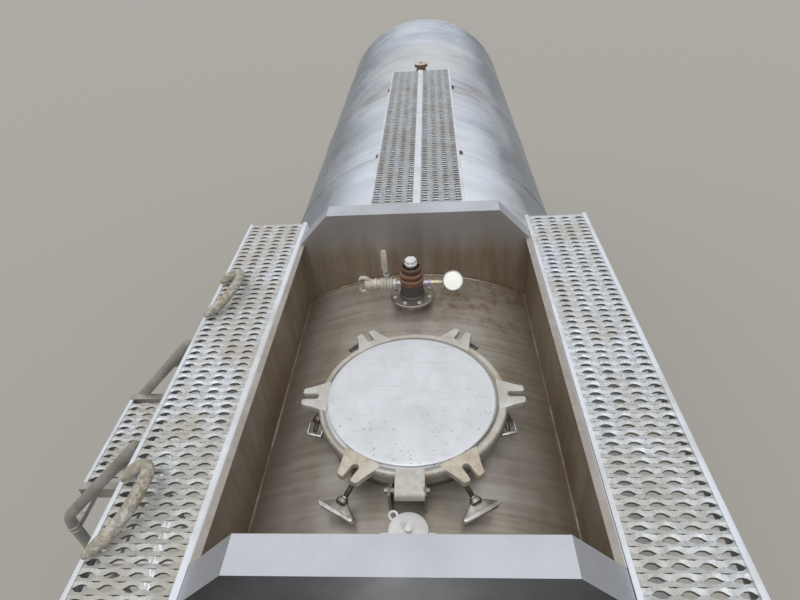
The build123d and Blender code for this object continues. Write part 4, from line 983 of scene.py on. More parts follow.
def keeper(plates, lips, angle):
    """Plate with a raised ring and a turned-up edge, on the end of a bolt at rest."""
    pivot, along, side = hang(angle)
    pivot = pivot - along * (0.026 if angle in (90, 270) else 0.0)
    up = side.cross(along)
    raised = pivot + up * 0.002
    plate = mirrored([(0.017, 0.066), (0.023, 0.074), (0.023, 0.113)])
    slab(plates, plate, pivot, side, along, 0.007, rounding=0.0016)
    slab(lips, rectangle(0.0245, 0.109, 0.1165), raised, side, along, 0.014, rounding=0.0016)
    for edge in (-1, 1):
        cheek = [(0.0205, 0.113), (0.0245, 0.113), (0.0245, 0.076), (0.0205, 0.076)]
        slab(lips, turned_over(cheek, edge), raised, side, along, 0.011, rounding=0.001)
    ring = [(0.006, 0.0), (0.006, 0.0055), (0.0095, 0.0055), (0.0115, 0.0)]
    turned(plates, ring, pivot + along * 0.094, up, steps=24, closed=True)


def make_swing_bolts():
    shanks = bmesh.new()
    handles = bmesh.new()
    plates = bmesh.new()
    for angle in BOLT_DROOPS:
        swing_bolt(shanks, angle)
        if angle in T_BARS:
            t_bar(shanks, handles, angle)
        else:
            keeper(plates, handles, angle)
    fitted("swing_bolt_keepers", plates, "keeper", "swing_bolts")
    fitted("swing_bolt_shanks", shanks, "bolt", "swing_bolts")
    fitted("swing_bolt_handles", handles, "wing", "swing_bolts")


make_swing_bolts()


def turned_pieces(rows, node, origin, along=UP):
    """Pieces of one turned profile each: name, finish, profile and steps."""
    for name, finish, profile, steps in rows:
        shape = bmesh.new()
        turned(shape, profile, origin, along, steps=steps)
        fitted(name, shape, finish, node)


# Relief valve on its flange, with the air valve to its curb side and the gauge to its road side
VALVE_LOW, VALVE_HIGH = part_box("relief_valve")
VALVE = Vector(((VALVE_LOW.x + VALVE_HIGH.x) / 2, -0.006, 3.262))
PIPE = VALVE + UP * 0.064


def make_relief_valve():
    flange = [
        (0.058, -0.045), (0.058, 0.0), (0.086, 0.0), (0.088, 0.002), (0.088, 0.0105), (0.086, 0.0125),
    ]
    body = [(0.05, 0.0125), (0.05, 0.018), (0.0445, 0.022), (0.0445, 0.072)]
    turned_pieces([
        ("relief_flange", "flange", flange, 64),
        ("relief_body", "black_casting", body, 48),
    ], "relief_valve", VALVE)
    bolts = bmesh.new()
    for out in around(8, AHEAD, ROADSIDE, 0.5):
        hex_head(bolts, VALVE + out * 0.0735 + UP * 0.0125, UP, 0.0085, 0.007)
    fitted("relief_flange_bolts", bolts, "cream", "relief_valve")
    rings = bmesh.new()
    lower = [
        (0.044, 0.07), (0.0455, 0.074), (0.0455, 0.083), (0.0475, 0.086), (0.0475, 0.0925), (0.044, 0.0955),
    ]
    upper = [(0.044, 0.108), (0.0455, 0.1115), (0.0455, 0.118), (0.042, 0.121)]
    turned(rings, lower, VALVE)
    turned(rings, upper, VALVE)
    fitted("relief_rings", rings, "rust", "relief_valve")
    necks = bmesh.new()
    crown = [
        (0.0365, 0.12), (0.0365, 0.132), (0.041, 0.1355), (0.041, 0.143), (0.0375, 0.146),
        (0.0325, 0.146), (0.031, 0.126),
    ]
    turned(necks, [(0.0405, 0.095), (0.0395, 0.109)], VALVE)
    turned(necks, crown, VALVE)
    for out in around(6, AHEAD, ROADSIDE, 0.2):
        post = VALVE + out * 0.022 + UP * 0.12
        rod(necks, post, post + UP * 0.036, 0.0042, sides=10)
    fitted("relief_necks", necks, "dark_ring", "relief_valve")
    cap = bmesh.new()
    turned(cap, [(0.0235, 0.152), (0.0245, 0.156), (0.0245, 0.161), (0.0215, 0.164)], VALVE, steps=40)
    hex_head(cap, VALVE + UP * 0.163, UP, 0.024, 0.014)
    dimple = [(0.013, 0.176), (0.0125, 0.1785), (0.01, 0.1785), (0.0085, 0.1765), (0.0, 0.1765)]
    turned(cap, dimple, VALVE, steps=32, capped=False)
    fitted("relief_cap", cap, "white", "relief_valve")


def make_air_valve():
    along = -ROADSIDE
    nipple = [(0.0145, 0.04), (0.0145, 0.064)]
    turned_pieces([("air_nipple", "lilac", nipple, 32)], "air_valve", PIPE, along)
    body = bmesh.new()
    hex_head(body, PIPE + along * 0.06, along, 0.0225, 0.016)
    ribs = [(0.0175, 0.076)]
    for n, swell in enumerate((0.0, 0.002, 0.002, 0.0)):
        d = 0.078 + n * 0.012
        ribs += [(0.024 + swell, d), (0.0245 + swell, d + 0.0035), (0.0215, d + 0.0085)]
    ribs += [
        (0.019, 0.129), (0.019, 0.137), (0.0235, 0.139), (0.0235, 0.147), (0.0185, 0.149), (0.0185, 0.156),
    ]
    coupling = [
        (0.016, 0.154), (0.0215, 0.162), (0.0235, 0.17), (0.0235, 0.182), (0.021, 0.186), (0.0135, 0.186),
        (0.0125, 0.18),
    ]
    claw = [
        (0.012, 0.166), (0.02, 0.164), (0.031, 0.172), (0.036, 0.186), (0.035, 0.202), (0.028, 0.21),
        (0.019, 0.211), (0.019, 0.2045), (0.026, 0.202), (0.028, 0.194), (0.026, 0.184), (0.018, 0.178),
    ]
    turned(body, ribs, PIPE, along, steps=32)
    turned(body, coupling, PIPE, along, steps=32)
    for rise in (-UP, UP):
        slab(body, claw, PIPE, rise, along, 0.017, rounding=0.002)
    stem = PIPE + along * 0.098
    rod(body, stem + UP * 0.02, stem + UP * 0.05, 0.009)
    hex_head(body, stem + UP * 0.042, UP, 0.0125, 0.008)
    fitted("air_ball_valve", body, "cream", "air_valve")
    lever = bmesh.new()
    foot = PIPE + along * 0.102
    strip = [
        (-0.0085, 0.04), (-0.0085, 0.066), (-0.0125, 0.074), (-0.0115, 0.148), (-0.0085, 0.156),
        (0.0075, 0.156), (0.0105, 0.148), (0.0115, 0.074), (0.0085, 0.066), (0.0085, 0.04),
    ]
    slab(lever, strip, foot, ROADSIDE, UP, 0.0055, rounding=0.0012)
    pin = foot + UP * 0.088
    rod(lever, pin + AHEAD * 0.0045, pin - AHEAD * 0.0045, 0.0032, sides=12)
    fitted("air_lever", lever, "cream", "air_valve")


def make_gauge():
    pipe = [(0.0125, 0.04), (0.0125, 0.066), (0.0165, 0.068), (0.0165, 0.076)]
    tube = [(0.0105, 0.074), (0.0105, 0.108), (0.0092, 0.11), (0.0092, 0.118)]
    turned_pieces([
        ("gauge_nipple", "lilac", pipe, 28),
        ("gauge_tube", "brass", tube, 24),
    ], "pressure_gauge", PIPE, ROADSIDE)
    centre = PIPE + ROADSIDE * 0.162 + UP * 0.006
    case = bmesh.new()
    hex_head(case, PIPE + ROADSIDE * 0.116, ROADSIDE, 0.0095, 0.01)
    shell = [
        (0.03, -0.02), (0.0385, -0.015), (0.0405, -0.009), (0.0405, 0.004), (0.0395, 0.006),
        (0.0375, 0.006), (0.0368, 0.0025),
    ]
    turned(case, shell, centre, AHEAD + UP, steps=56)
    fitted("gauge_case", case, "bezel", "pressure_gauge")
    dial = [(0.0362, 0.0024), (0.0362, 0.0034), (0.0, 0.0046)]
    turned_pieces([("gauge_dial", "dial", dial, 56)], "pressure_gauge", centre, AHEAD + UP)


make_relief_valve()
make_air_valve()
make_gauge()

# Cleaning cap by the front rail: cap with its eye, side tabs, lever and knob
CAP_LOW, CAP_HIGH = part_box("cleaning_cap")
CAP_CENTRE = Vector(((CAP_LOW.x + CAP_HIGH.x) / 2, 0.003, 3.252))


def make_cleaning_cap():
    cap = bmesh.new()
    shell = [
        (0.036, -0.035), (0.036, 0.0), (0.05, 0.001), (0.0535, 0.004), (0.0535, 0.013),
        (0.0515, 0.0165), (0.047, 0.018), (0.0, 0.0186),
    ]
    turned(cap, shell, CAP_CENTRE, steps=56)
    eye = [(0.008, -0.002), (0.013, -0.003), (0.0145, 0.0), (0.013, 0.003), (0.008, 0.002)]
    place = CAP_CENTRE + Vector((-0.044, -0.041, 0.012))
    turned(cap, eye, place, Vector((0.35, 0.2, 1)), steps=28, closed=True)
    tab = [(-0.075, -0.007), (-0.05, -0.011), (-0.05, 0.011), (-0.075, 0.007)]
    place = CAP_CENTRE + Vector((0.012, 0, 0.008))
    for side in (1, -1):
        slab(cap, turned_over(tab, side), place, ROADSIDE, AHEAD, 0.007, rounding=0.0015)
    base = CAP_CENTRE + Vector((0.002, 0.001, 0.0186))
    tip = base + Vector((-0.8, -0.6, 0)) * 0.027
    for sign in (-1, 1):
        start = base + Vector((0.002 * sign, -0.003 * sign, 0.004))
        rod(cap, start, tip + Vector((0.001 * sign, -0.003 * sign, 0.006)), 0.0022, sides=10)
    grip = Vector((0.0015, -0.0045, 0))
    rod(cap, tip + grip + UP * 0.006, tip - grip + UP * 0.006, 0.0024, sides=10)
    knob = [(0.007, -0.002), (0.007, 0.004), (0.0095, 0.006), (0.0105, 0.01), (0.009, 0.0135), (0.0, 0.0145)]
    turned(cap, knob, base, steps=24)
    fitted("cleaning_cap_fittings", cap, "white", "cleaning_cap")


make_cleaning_cap()

# Weld beads where the spill box stands on the barrel
BOX_INSIDE = 0.48
BEAD_SPANS = 24


def barrel_z(y):
    """Height of the barrel's surface beside its top."""
    return BARREL_AXIS + math.sqrt(BARREL_RADIUS**2 - y * y)


def make_weld_beads():
    beads = bmesh.new()
    for side in (-1, 1):
        y = side * (BOX_INSIDE - 0.003)
        z = barrel_z(y) + 0.0025
        bead(beads, (BOX_LOW.x + 0.006, y, z), (BOX_HIGH.x - 0.006, y, z), 0.0078)
    ys = [-BOX_INSIDE + n * 2 * BOX_INSIDE / BEAD_SPANS for n in range(BEAD_SPANS + 1)]
    for x in (BOX_LOW.x + 0.0065, BOX_HIGH.x - 0.0065):
        for y0, y1 in zip(ys, ys[1:]):
            bead(beads, (x, y0, barrel_z(y0) + 0.0015), (x, y1, barrel_z(y1) + 0.0015), 0.0072)
    fitted("box_foot_weld", beads, "weld", "spill_box_sides", replace=False, crease=80)


make_weld_beads()

# Barrel ends: turned jacket with a knuckle and a shallow crown
HEAD_DEPTH = 0.253
KNUCKLE = 0.15
KNUCKLE_MIDDLE = BARREL_RADIUS - KNUCKLE
CROWN = (HEAD_DEPTH**2 - KNUCKLE**2 + KNUCKLE_MIDDLE**2) / (2 * (HEAD_DEPTH - KNUCKLE))
KNUCKLE_STEPS = 12
CROWN_STEPS = 16


def make_barrel_end(node, heading):
    """Straight jacket from its seam to the head, then knuckle and crown, as one turned shape."""
    low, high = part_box(node)
    seam = abs(low.x if heading > 0 else high.x)
    outline = [(BARREL_RADIUS, seam)]
    spans = round((BARREL_HALF - seam) / 0.35)
    for n in range(1, spans + 1):
        outline.append((BARREL_RADIUS, seam + (BARREL_HALF - seam) * n / spans))
    turn_in = math.atan2(KNUCKLE_MIDDLE, CROWN - HEAD_DEPTH)
    for n in range(1, KNUCKLE_STEPS + 1):
        a = math.pi / 2 + (turn_in - math.pi / 2) * n / KNUCKLE_STEPS
        outline.append((KNUCKLE_MIDDLE + KNUCKLE * math.sin(a), BARREL_HALF + KNUCKLE * math.cos(a)))
    for n in range(1, CROWN_STEPS + 1):
        a = turn_in * (1 - n / CROWN_STEPS)
        outline.append((CROWN * math.sin(a), BARREL_HALF + HEAD_DEPTH - CROWN + CROWN * math.cos(a)))
    shape = bmesh.new()
    turned(shape, outline, (0, 0, BARREL_AXIS), AHEAD * heading, steps=160)
    fitted(node + "_jacket", shape, "jacket", node, crease=60)


make_barrel_end("tank_front", 1)
make_barrel_end("tank_rear", -1)

# Capped fitting behind the top walkway
FITTING_LOW, FITTING_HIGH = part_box("top_fitting")


def make_top_fitting():
    foot = Vector(((FITTING_LOW.x + FITTING_HIGH.x) / 2, 0, BARREL_TOP))
    body = bmesh.new()
    base = [
        (0.046, -0.012), (0.046, 0.003), (0.0385, 0.006), (0.0385, 0.022), (0.05, 0.025), (0.056, 0.029),
        (0.056, 0.035), (0.051, 0.0385), (0.051, 0.042), (0.0565, 0.0445), (0.0565, 0.052),
    ]
    turned(body, base, foot)
    for out in around(12, AHEAD, ROADSIDE):
        rib = foot + out * 0.0545
        rod(body, rib + UP * 0.028, rib + UP * 0.05, 0.0036, sides=8)
    fitted("fitting_body", body, "fitting", "top_fitting")
    cap = [
        (0.0545, 0.05), (0.0555, 0.054), (0.0535, 0.0585), (0.044, 0.0615), (0.02, 0.0625),
        (0.017, 0.061), (0.0165, 0.0585),
    ]
    turned_pieces([("fitting_cap", "pale_cap", cap, 48)], "top_fitting", foot)
    stud = bmesh.new()
    hex_head(stud, foot + UP * 0.058, UP, 0.011, 0.007)
    fitted("fitting_stud", stud, "fitting", "top_fitting")


make_top_fitting()

# Ladder: weld collars and end plugs on the stiles, raised rings on the rungs
LADDER_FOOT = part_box("ladder")[0].z
STILE_X = 0.215
STILE_Y = -1.137
RUNG_TOP = 2.955
RUNG_PITCH = 0.3
RUNGS = 8
GRIPS = 9


def make_ladder_details():
    shape = bmesh.new()
    collar = [(0.0172, -0.004), (0.0192, -0.003), (0.0202, 0.0), (0.0192, 0.003), (0.0172, 0.004)]
    plug = [(0.016, 0.0003), (0.0188, 0.003), (0.0192, 0.02), (0.0176, 0.022)]
    grip = [(0.0035, -0.0005), (0.0042, 0.0016), (0.0062, 0.0016), (0.0072, -0.0005)]
    rungs = [RUNG_TOP - n * RUNG_PITCH for n in range(RUNGS)]
    for x in (-STILE_X, STILE_X):
        turned(shape, plug, (x, STILE_Y, LADDER_FOOT), steps=24)
        for z in rungs:
            for drop in (0.002, 0.02):
                turned(shape, collar, (x, STILE_Y, z - drop), steps=20, closed=True)
    for z in rungs:
        for k in range(GRIPS):
            for y in (-0.008, 0.008):
                place = ((k - GRIPS // 2) * 0.043, STILE_Y + y, z)
                turned(shape, grip, place, steps=12, closed=True)
    fitted("ladder_welds_and_grips", shape, "tube", "ladder", replace=False)


make_ladder_details()

# Marker lamps on the coupler's webs and the frame, bolts along the frame's foot
MARKERS = [(5.9, 0.473, 1.33), (-3.75, 0.452, 1.13)]


def make_markers():
    lenses = bmesh.new()
    guards = bmesh.new()
    bolts = bmesh.new()
    lens = [(0.026, 0.012), (0.026, 0.017), (0.023, 0.0215), (0.012, 0.024), (0.0, 0.0245)]
    guard = [(0.034, 0.0), (0.034, 0.012), (0.031, 0.0155), (0.0265, 0.0155), (0.0262, 0.012)]
    for side in (-1, 1):
        for x, y, z in MARKERS:
            turned(lenses, lens, (x, side * y, z), ROADSIDE * side, steps=32)
            turned(guards, guard, (x, side * y, z), ROADSIDE * side, steps=32)
        for axle_x in AXLES.values():
            for dx in (0.45, 0.52, 0.59):
                for z in (1.03, 1.09):
                    hex_head(bolts, (axle_x + dx, side * 0.45, z), ROADSIDE * side, 0.014, 0.011)
    fitted("marker_lenses", lenses, "amber", "tail_lamps", replace=False)
    fitted("marker_guards", guards, "rubber", "subframe", replace=False)
    fitted("hanger_bolts", bolts, "nut", "subframe", replace=False)


make_markers()

# Air springs: two-lobed bellows with a girdle hoop, on a piston
SPRING_BACK = 0.33
SPRING_Y = 0.445
PISTON_TOP = 0.106
LOBE_STEPS = 12


def make_air_springs():
    springs = bmesh.new()
    plates = bmesh.new()
    low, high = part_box("air_springs")
    tall = high.z - low.z
    travel = tall - 0.118
    bellows = [(0.082, 0.0), (0.0745, 0.1), (0.08, 0.104)]
    for n in range(LOBE_STEPS + 1):
        lobe = abs(math.sin(math.tau * n / LOBE_STEPS))
        bellows.append((0.088 + 0.03 * lobe**0.7, PISTON_TOP + travel * n / LOBE_STEPS))
    bellows.append((0.0, tall - 0.01))
    hoop = [(0.088, -0.006), (0.0965, -0.006), (0.099, 0.0), (0.0965, 0.006), (0.088, 0.006)]
    plate = [(0.098, tall - 0.012), (0.1, tall - 0.009), (0.1, tall)]
    for axle_x in AXLES.values():
        for side in (-1, 1):
            seat = Vector((axle_x - SPRING_BACK, side * SPRING_Y, low.z))
            turned(springs, bellows, seat, steps=44)
            turned(plates, hoop, seat + UP * (PISTON_TOP + travel / 2), steps=44, closed=True)
            turned(plates, plate, seat, steps=44)
    fitted("air_spring_bellows", springs, "rubber", "air_springs")
    fitted("air_spring_plates", plates, "black", "air_springs")


make_air_springs()

# Twin wheels: ribbed tyres, rims, dished discs with hand holes, hub and drum
TYRE_HALF = [
    (0.0, 0.527), (0.023, 0.527), (0.0245, 0.515), (0.0315, 0.515), (0.033, 0.5268), (0.07, 0.5256),
    (0.0715, 0.514), (0.0785, 0.514), (0.08, 0.525), (0.108, 0.5225), (0.1145, 0.5185), (0.117, 0.508),
    (0.1215, 0.498), (0.1295, 0.482), (0.1355, 0.466), (0.1352, 0.462), (0.1375, 0.452), (0.1395, 0.43),
    (0.1393, 0.41), (0.137, 0.388), (0.133, 0.366), (0.1325, 0.36), (0.127, 0.342), (0.1195, 0.322),
    (0.1135, 0.3075), (0.108, 0.3005), (0.1045, 0.299), (0.1045, 0.2872),
]
TYRE_LUGS = 72
RIM_HALF = [
    (0.274, 0.045), (0.2835, 0.06), (0.2868, 0.1055), (0.2975, 0.1075), (0.2985, 0.112), (0.2955, 0.1145),
    (0.289, 0.112), (0.283, 0.107), (0.2805, 0.1), (0.2775, 0.06), (0.268, 0.045),
]
HUB = [
    (0.104, -0.012), (0.104, 0.022), (0.092, 0.03), (0.088, 0.1), (0.092, 0.135), (0.103, 0.15),
    (0.103, 0.166), (0.082, 0.168), (0.08, 0.178), (0.078, 0.203), (0.072, 0.2085), (0.03, 0.2095),
    (0.028, 0.206),
]
DISC_ROWS = [
    (0.108, 0.01), (0.13, 0.01), (0.155, 0.01), (0.18, 0.0115), (0.193, 0.0165), (0.204, 0.0255),
    (0.22, 0.039), (0.236, 0.0525), (0.252, 0.066), (0.266, 0.0765), (0.2795, 0.0815),
]
DISC_COLUMNS = 80
HAND_HOLES = 10
HOLE_RADIUS_OUT = 0.228
TWIN_OFFSET = 0.1715


def tyre(shape, centre):
    """Ribbed tyre with notches across its shoulders."""
    ring = TYRE_HALF + [(-d, r) for d, r in reversed(TYRE_HALF[1:])]
    rings = []
    for lug in range(TYRE_LUGS):
        for share, notch in ((0.0, True), (0.08, True), (0.1, False), (0.55, False)):
            a = math.tau * (lug + share) / TYRE_LUGS
            out = Vector((math.cos(a), 0, math.sin(a)))
            points = []
            for d, r in ring:
                if notch and r > 0.518:
                    r -= 0.0065 if abs(d) > 0.079 else 0.0028
                points.append(centre + ROADSIDE * d + out * r)
            rings.append([shape.verts.new(p) for p in points])
    bmesh.ops.recalc_face_normals(shape, faces=skin(shape, rings, closed=True))


def dished_disc(shape, middle, along):
    """Wheel disc: flat at its middle, dished out to the rim, with round hand holes."""
    grid = {}
    per_hole = DISC_COLUMNS // HAND_HOLES
    for n in range(DISC_COLUMNS):
        for k, (r, d) in enumerate(DISC_ROWS):
            turn = n
            di, dk = n % per_hole - 3.5, k - 6.5
            if abs(di) < 1 and abs(dk) < 1:
                continue
            if abs(di) < 2 and abs(dk) < 2:
                reach = math.hypot(di, dk)
                turn = n - di + 0.0235 * di / reach / (math.tau * HOLE_RADIUS_OUT / DISC_COLUMNS)
                r = HOLE_RADIUS_OUT + 0.0195 * dk / reach
                d = 0.0255 + (r - 0.204) * 0.84
            a = math.tau * turn / DISC_COLUMNS
            out = Vector((math.cos(a), 0, math.sin(a)))
            grid[n, k] = shape.verts.new(middle + out * r + along * d)
    faces = []
    for n in range(DISC_COLUMNS):
        m = (n + 1) % DISC_COLUMNS
        for k in range(len(DISC_ROWS) - 1):
            if n % per_hole in (2, 3, 4) and k in (5, 6, 7):
                continue
            faces.append(shape.faces.new((grid[n, k], grid[n, k + 1], grid[m, k + 1], grid[m, k])))
    bmesh.ops.recalc_face_normals(shape, faces=faces)
    bmesh.ops.solidify(shape, geom=faces, thickness=0.008)


def make_twin_wheel(axle, side_name, side):
    """Both tyres, both rims with their discs, the hub, its nuts and the brake drum."""
    place = f"{axle}_{side_name}"
    tyres_node, wheel_node, body = f"tyres_{place}", f"wheel_{place}", f"wheels_{place}"
    low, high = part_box(tyres_node)
    middle = (low + high) / 2
    along = ROADSIDE * side
    rubber = bmesh.new()
    metal = bmesh.new()
    rim = RIM_HALF + [(r, -d) for r, d in reversed(RIM_HALF)]
    for heading in (-1, 1):
        tyre(rubber, middle + ROADSIDE * TWIN_OFFSET * heading)
        turned(metal, rim, middle + along * TWIN_OFFSET * heading, along, steps=72, closed=True)
        dished_disc(metal, middle, along * heading)
    fitted(f"ribbed_tyres_{place}", rubber, "rubber", tyres_node, body=body, crease=32)
    turned(metal, HUB, middle, along, steps=56)
    valve = middle + AHEAD * 0.235
    rod(metal, valve + along * 0.055, valve + along * 0.115 + AHEAD * 0.012, 0.005, sides=10)
    fitted(f"rims_and_discs_{place}", metal, "wheel", wheel_node, body=body, crease=32)
    nuts = bmesh.new()
    washer = [(0.023, 0.0), (0.023, 0.003), (0.0205, 0.0055)]
    for out in around(10, AHEAD, UP, 0.5):
        seat = middle + out * 0.1425 + along * 0.0138
        turned(nuts, washer, seat, along, steps=24)
        hex_head(nuts, seat + along * 0.005, along, 0.019, 0.019)
        rod(nuts, seat + along * 0.02, seat + along * 0.034, 0.0105, sides=14)
    for out in around(6, AHEAD, UP):
        hex_head(nuts, middle + out * 0.0925 + along * 0.166, along, 0.0075, 0.006)
    fitted(f"wheel_nuts_{place}", nuts, "nut", wheel_node, body=body, crease=32)
    drum = bmesh.new()
    shell = [(0.046, -0.268), (0.2, -0.268), (0.2075, -0.265), (0.2075, -0.252)]
    for n in range(6):
        d = -0.248 + n * 0.026
        shell += [(0.2, d), (0.2, d + 0.012), (0.2065, d + 0.014), (0.2065, d + 0.022)]
    shell += [(0.2065, -0.062), (0.18, -0.036), (0.17, -0.03), (0.17, -0.0022), (0.046, -0.0022)]
    turned(drum, shell, middle, along, steps=64, closed=True)
    fitted(f"brake_drum_{place}", drum, "drum", wheel_node, body=body, crease=32)


for axle in AXLES:
    for side_name, side in (("left", 1), ("right", -1)):
        make_twin_wheel(axle, side_name, side)

# Tail lamps: ribbed lenses in grommets; a blank plate on the light bar
LAMP_LOW, LAMP_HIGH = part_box("tail_lamps")
LIGHT_BAR_Z = (LAMP_LOW.z + LAMP_HIGH.z) / 2


def make_tail_lamps():
    lenses = bmesh.new()
    grommets = bmesh.new()
    lens = [(0.044, 0.0), (0.044, 0.0055)]
    for k in range(5):
        lens += [(0.0415 - k * 0.008, 0.0082 + k * 0.0003), (0.0375 - k * 0.008, 0.0072 + k * 0.0003)]
    lens.append((0.0, 0.0092))
    ring = [(0.0442, 0.0), (0.052, 0.0), (0.052, 0.004), (0.05, 0.0068), (0.046, 0.0072), (0.0442, 0.006)]
    for side in (-1, 1):
        for n in range(3):
            seat = (LAMP_HIGH.x, side * (0.98 - n * 0.14), LIGHT_BAR_Z)
            turned(lenses, lens, seat, -AHEAD, steps=40)
            turned(grommets, ring, seat, -AHEAD, steps=40, closed=True)
    fitted("tail_lamp_lenses", lenses, "lens", "tail_lamps")
    fitted("tail_lamp_grommets", grommets, "rubber", "tail_lamps")
    plate = bmesh.new()
    place = Vector((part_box("rear_guard")[0].x + 0.0085, 0, LIGHT_BAR_Z - 0.002))
    slab(plate, rectangle(0.15, -0.05, 0.05), place, ROADSIDE, UP, 0.002, rounding=0.0006)
    for y in (-0.12, 0.12):
        for z in (-0.036, 0.036):
            hex_head(plate, place + Vector((-0.001, y, z)), -AHEAD, 0.006, 0.004)
    fitted("blank_plate", plate, "blank", "rear_guard", replace=False)


make_tail_lamps()

# Fender edges, bolts and straps, flap clamps and ribs
FLAP_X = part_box("mud_flaps")[0].x + 0.012
CLAMP_Z = 0.985
FENDER_RADIUS = 0.602
FENDER_REACH = 70
EDGE_RADIUS = 0.0065


def rolled_edge(shape, place, steps=40):
    """Round bead along the rim of a fender arch."""
    rings = []
    for n in range(steps + 1):
        a = math.radians(90 - FENDER_REACH + 2 * FENDER_REACH * n / steps)
        out = Vector((math.cos(a), 0, math.sin(a)))
        middle = place + out * FENDER_RADIUS
        rings.append([shape.verts.new(middle + turn * EDGE_RADIUS) for turn in around(8, out, ROADSIDE)])
    faces = [shape.faces.new(rings[0]), shape.faces.new(rings[-1])]
    bmesh.ops.recalc_face_normals(shape, faces=faces + skin(shape, rings))


def make_guards():
    edges = bmesh.new()
    clamps = bmesh.new()
    bolts = bmesh.new()
    ribs = bmesh.new()
    strap = mirrored([(0.1, -0.007), (0.1, -0.002), (0.03, 0.03)])
    bar = [(0.6, -0.022), (1.205, -0.022), (1.205, 0.022), (0.6, 0.022)]
    for side in (-1, 1):
        for axle in AXLES:
            low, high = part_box(f"tyres_{axle}_left")
            arch = Vector(((low.x + high.x) / 2, 0, (low.z + high.z) / 2))
            for y in (0.5945, 1.2105):
                rolled_edge(edges, arch + ROADSIDE * side * y)
            for y in (0.66, 0.9, 1.14):
                stay = arch + ROADSIDE * side * y
                for angle in (82, 98):
                    a = math.radians(angle)
                    out = Vector((math.cos(a), 0, math.sin(a)))
                    hex_head(bolts, stay + out * 0.604, out, 0.009, 0.006)
                slab(edges, strap, stay + UP * 0.606, AHEAD, UP, 0.006, rounding=0.001)
        for x in (FLAP_X - 0.0065, FLAP_X + 0.0125):
            slab(clamps, turned_over(bar, side), (x, 0, CLAMP_Z), ROADSIDE, UP, 0.004, rounding=0.0008)
        for n in range(6):
            y = side * (0.64 + n * 0.105)
            hex_head(bolts, (FLAP_X - 0.0085, y, CLAMP_Z), -AHEAD, 0.0095, 0.006)
            hex_head(bolts, (FLAP_X + 0.0145, y, CLAMP_Z), AHEAD, 0.0095, 0.006)
        for n in range(13):
            place = (FLAP_X - 0.005, side * (0.62 + n * 0.0475), 0)
            slab(ribs, rectangle(0.004, 0.29, 0.94), place, ROADSIDE, UP, 0.004, rounding=0.0012)
    fitted("fender_edges", edges, "steel", "fenders", replace=False)
    fitted("flap_clamps", clamps, "steel", "mud_flaps", replace=False)
    fitted("guard_bolts", bolts, "nut", "mud_flaps", replace=False)
    fitted("flap_ribs", ribs, "rubber", "mud_flaps", replace=False)


make_guards()

# Hose tubes: end caps with hinge, strap, latch and pull ring
TUBE_LOW, TUBE_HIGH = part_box("hose_tubes")
TUBE_Y = 0.81
TUBE_Z = 1.385


def hose_tube_cap(shape, face, out):
    """Dished cap between two grooves, with straps, hinge, latch and pull ring."""
    dish = [(0.104, -0.004), (0.104, 0.001), (0.096, 0.004), (0.05, 0.0065), (0.0, 0.007)]
    turned(shape, dish, face, out)
    groove = [(0.1095, -0.012), (0.112, -0.012), (0.112, -0.009), (0.1095, -0.009)]
    for back in (0.0, 0.036):
        turned(shape, groove, face - out * back, out, closed=True)
    for start, end in ((0.084, 0.118), (-0.088, -0.118)):
        slab(shape, rectangle(0.016, start, end), face + out * 0.007, ROADSIDE, UP, 0.005, rounding=0.001)
    hinge = face + UP * 0.119 - out * 0.006
    for y in (-0.02, 0.0, 0.02):
        rod(shape, hinge + ROADSIDE * (y - 0.0085), hinge + ROADSIDE * (y + 0.0085), 0.0075, sides=14)
    latch = face - UP * 0.116 - out * 0.02
    slab(shape, rectangle(0.014, -0.012, 0.012), latch, out, ROADSIDE, 0.006, rounding=0.001)
    ring = [
        (0.019, -0.002), (0.021, -0.0035), (0.023, -0.002), (0.023, 0.002), (0.021, 0.0035), (0.019, 0.002),
    ]
    turned(shape, ring, face + out * 0.0095 - UP * 0.02, out, steps=28, closed=True)
    stud = face - UP * 0.001
    rod(shape, stud, stud + out * 0.013, 0.006, sides=12)


def make_hose_tube_caps():
    caps = bmesh.new()
    for side in (-1, 1):
        for x, out in ((TUBE_LOW.x, -AHEAD), (TUBE_HIGH.x, AHEAD)):
            hose_tube_cap(caps, Vector((x, side * TUBE_Y, TUBE_Z)), out)
    fitted("hose_tube_caps", caps, "steel", "hose_tubes", replace=False)


make_hose_tube_caps()

# Landing gear: bolts, foot ribs, gear box cover, crank grip
GEAR_X = 3.24
GEAR_Y = 0.68
SHAFT_Z = 1.08
COVER_Y = GEAR_Y + 0.0575 + 0.0703
LEG_FACE = 0.0605


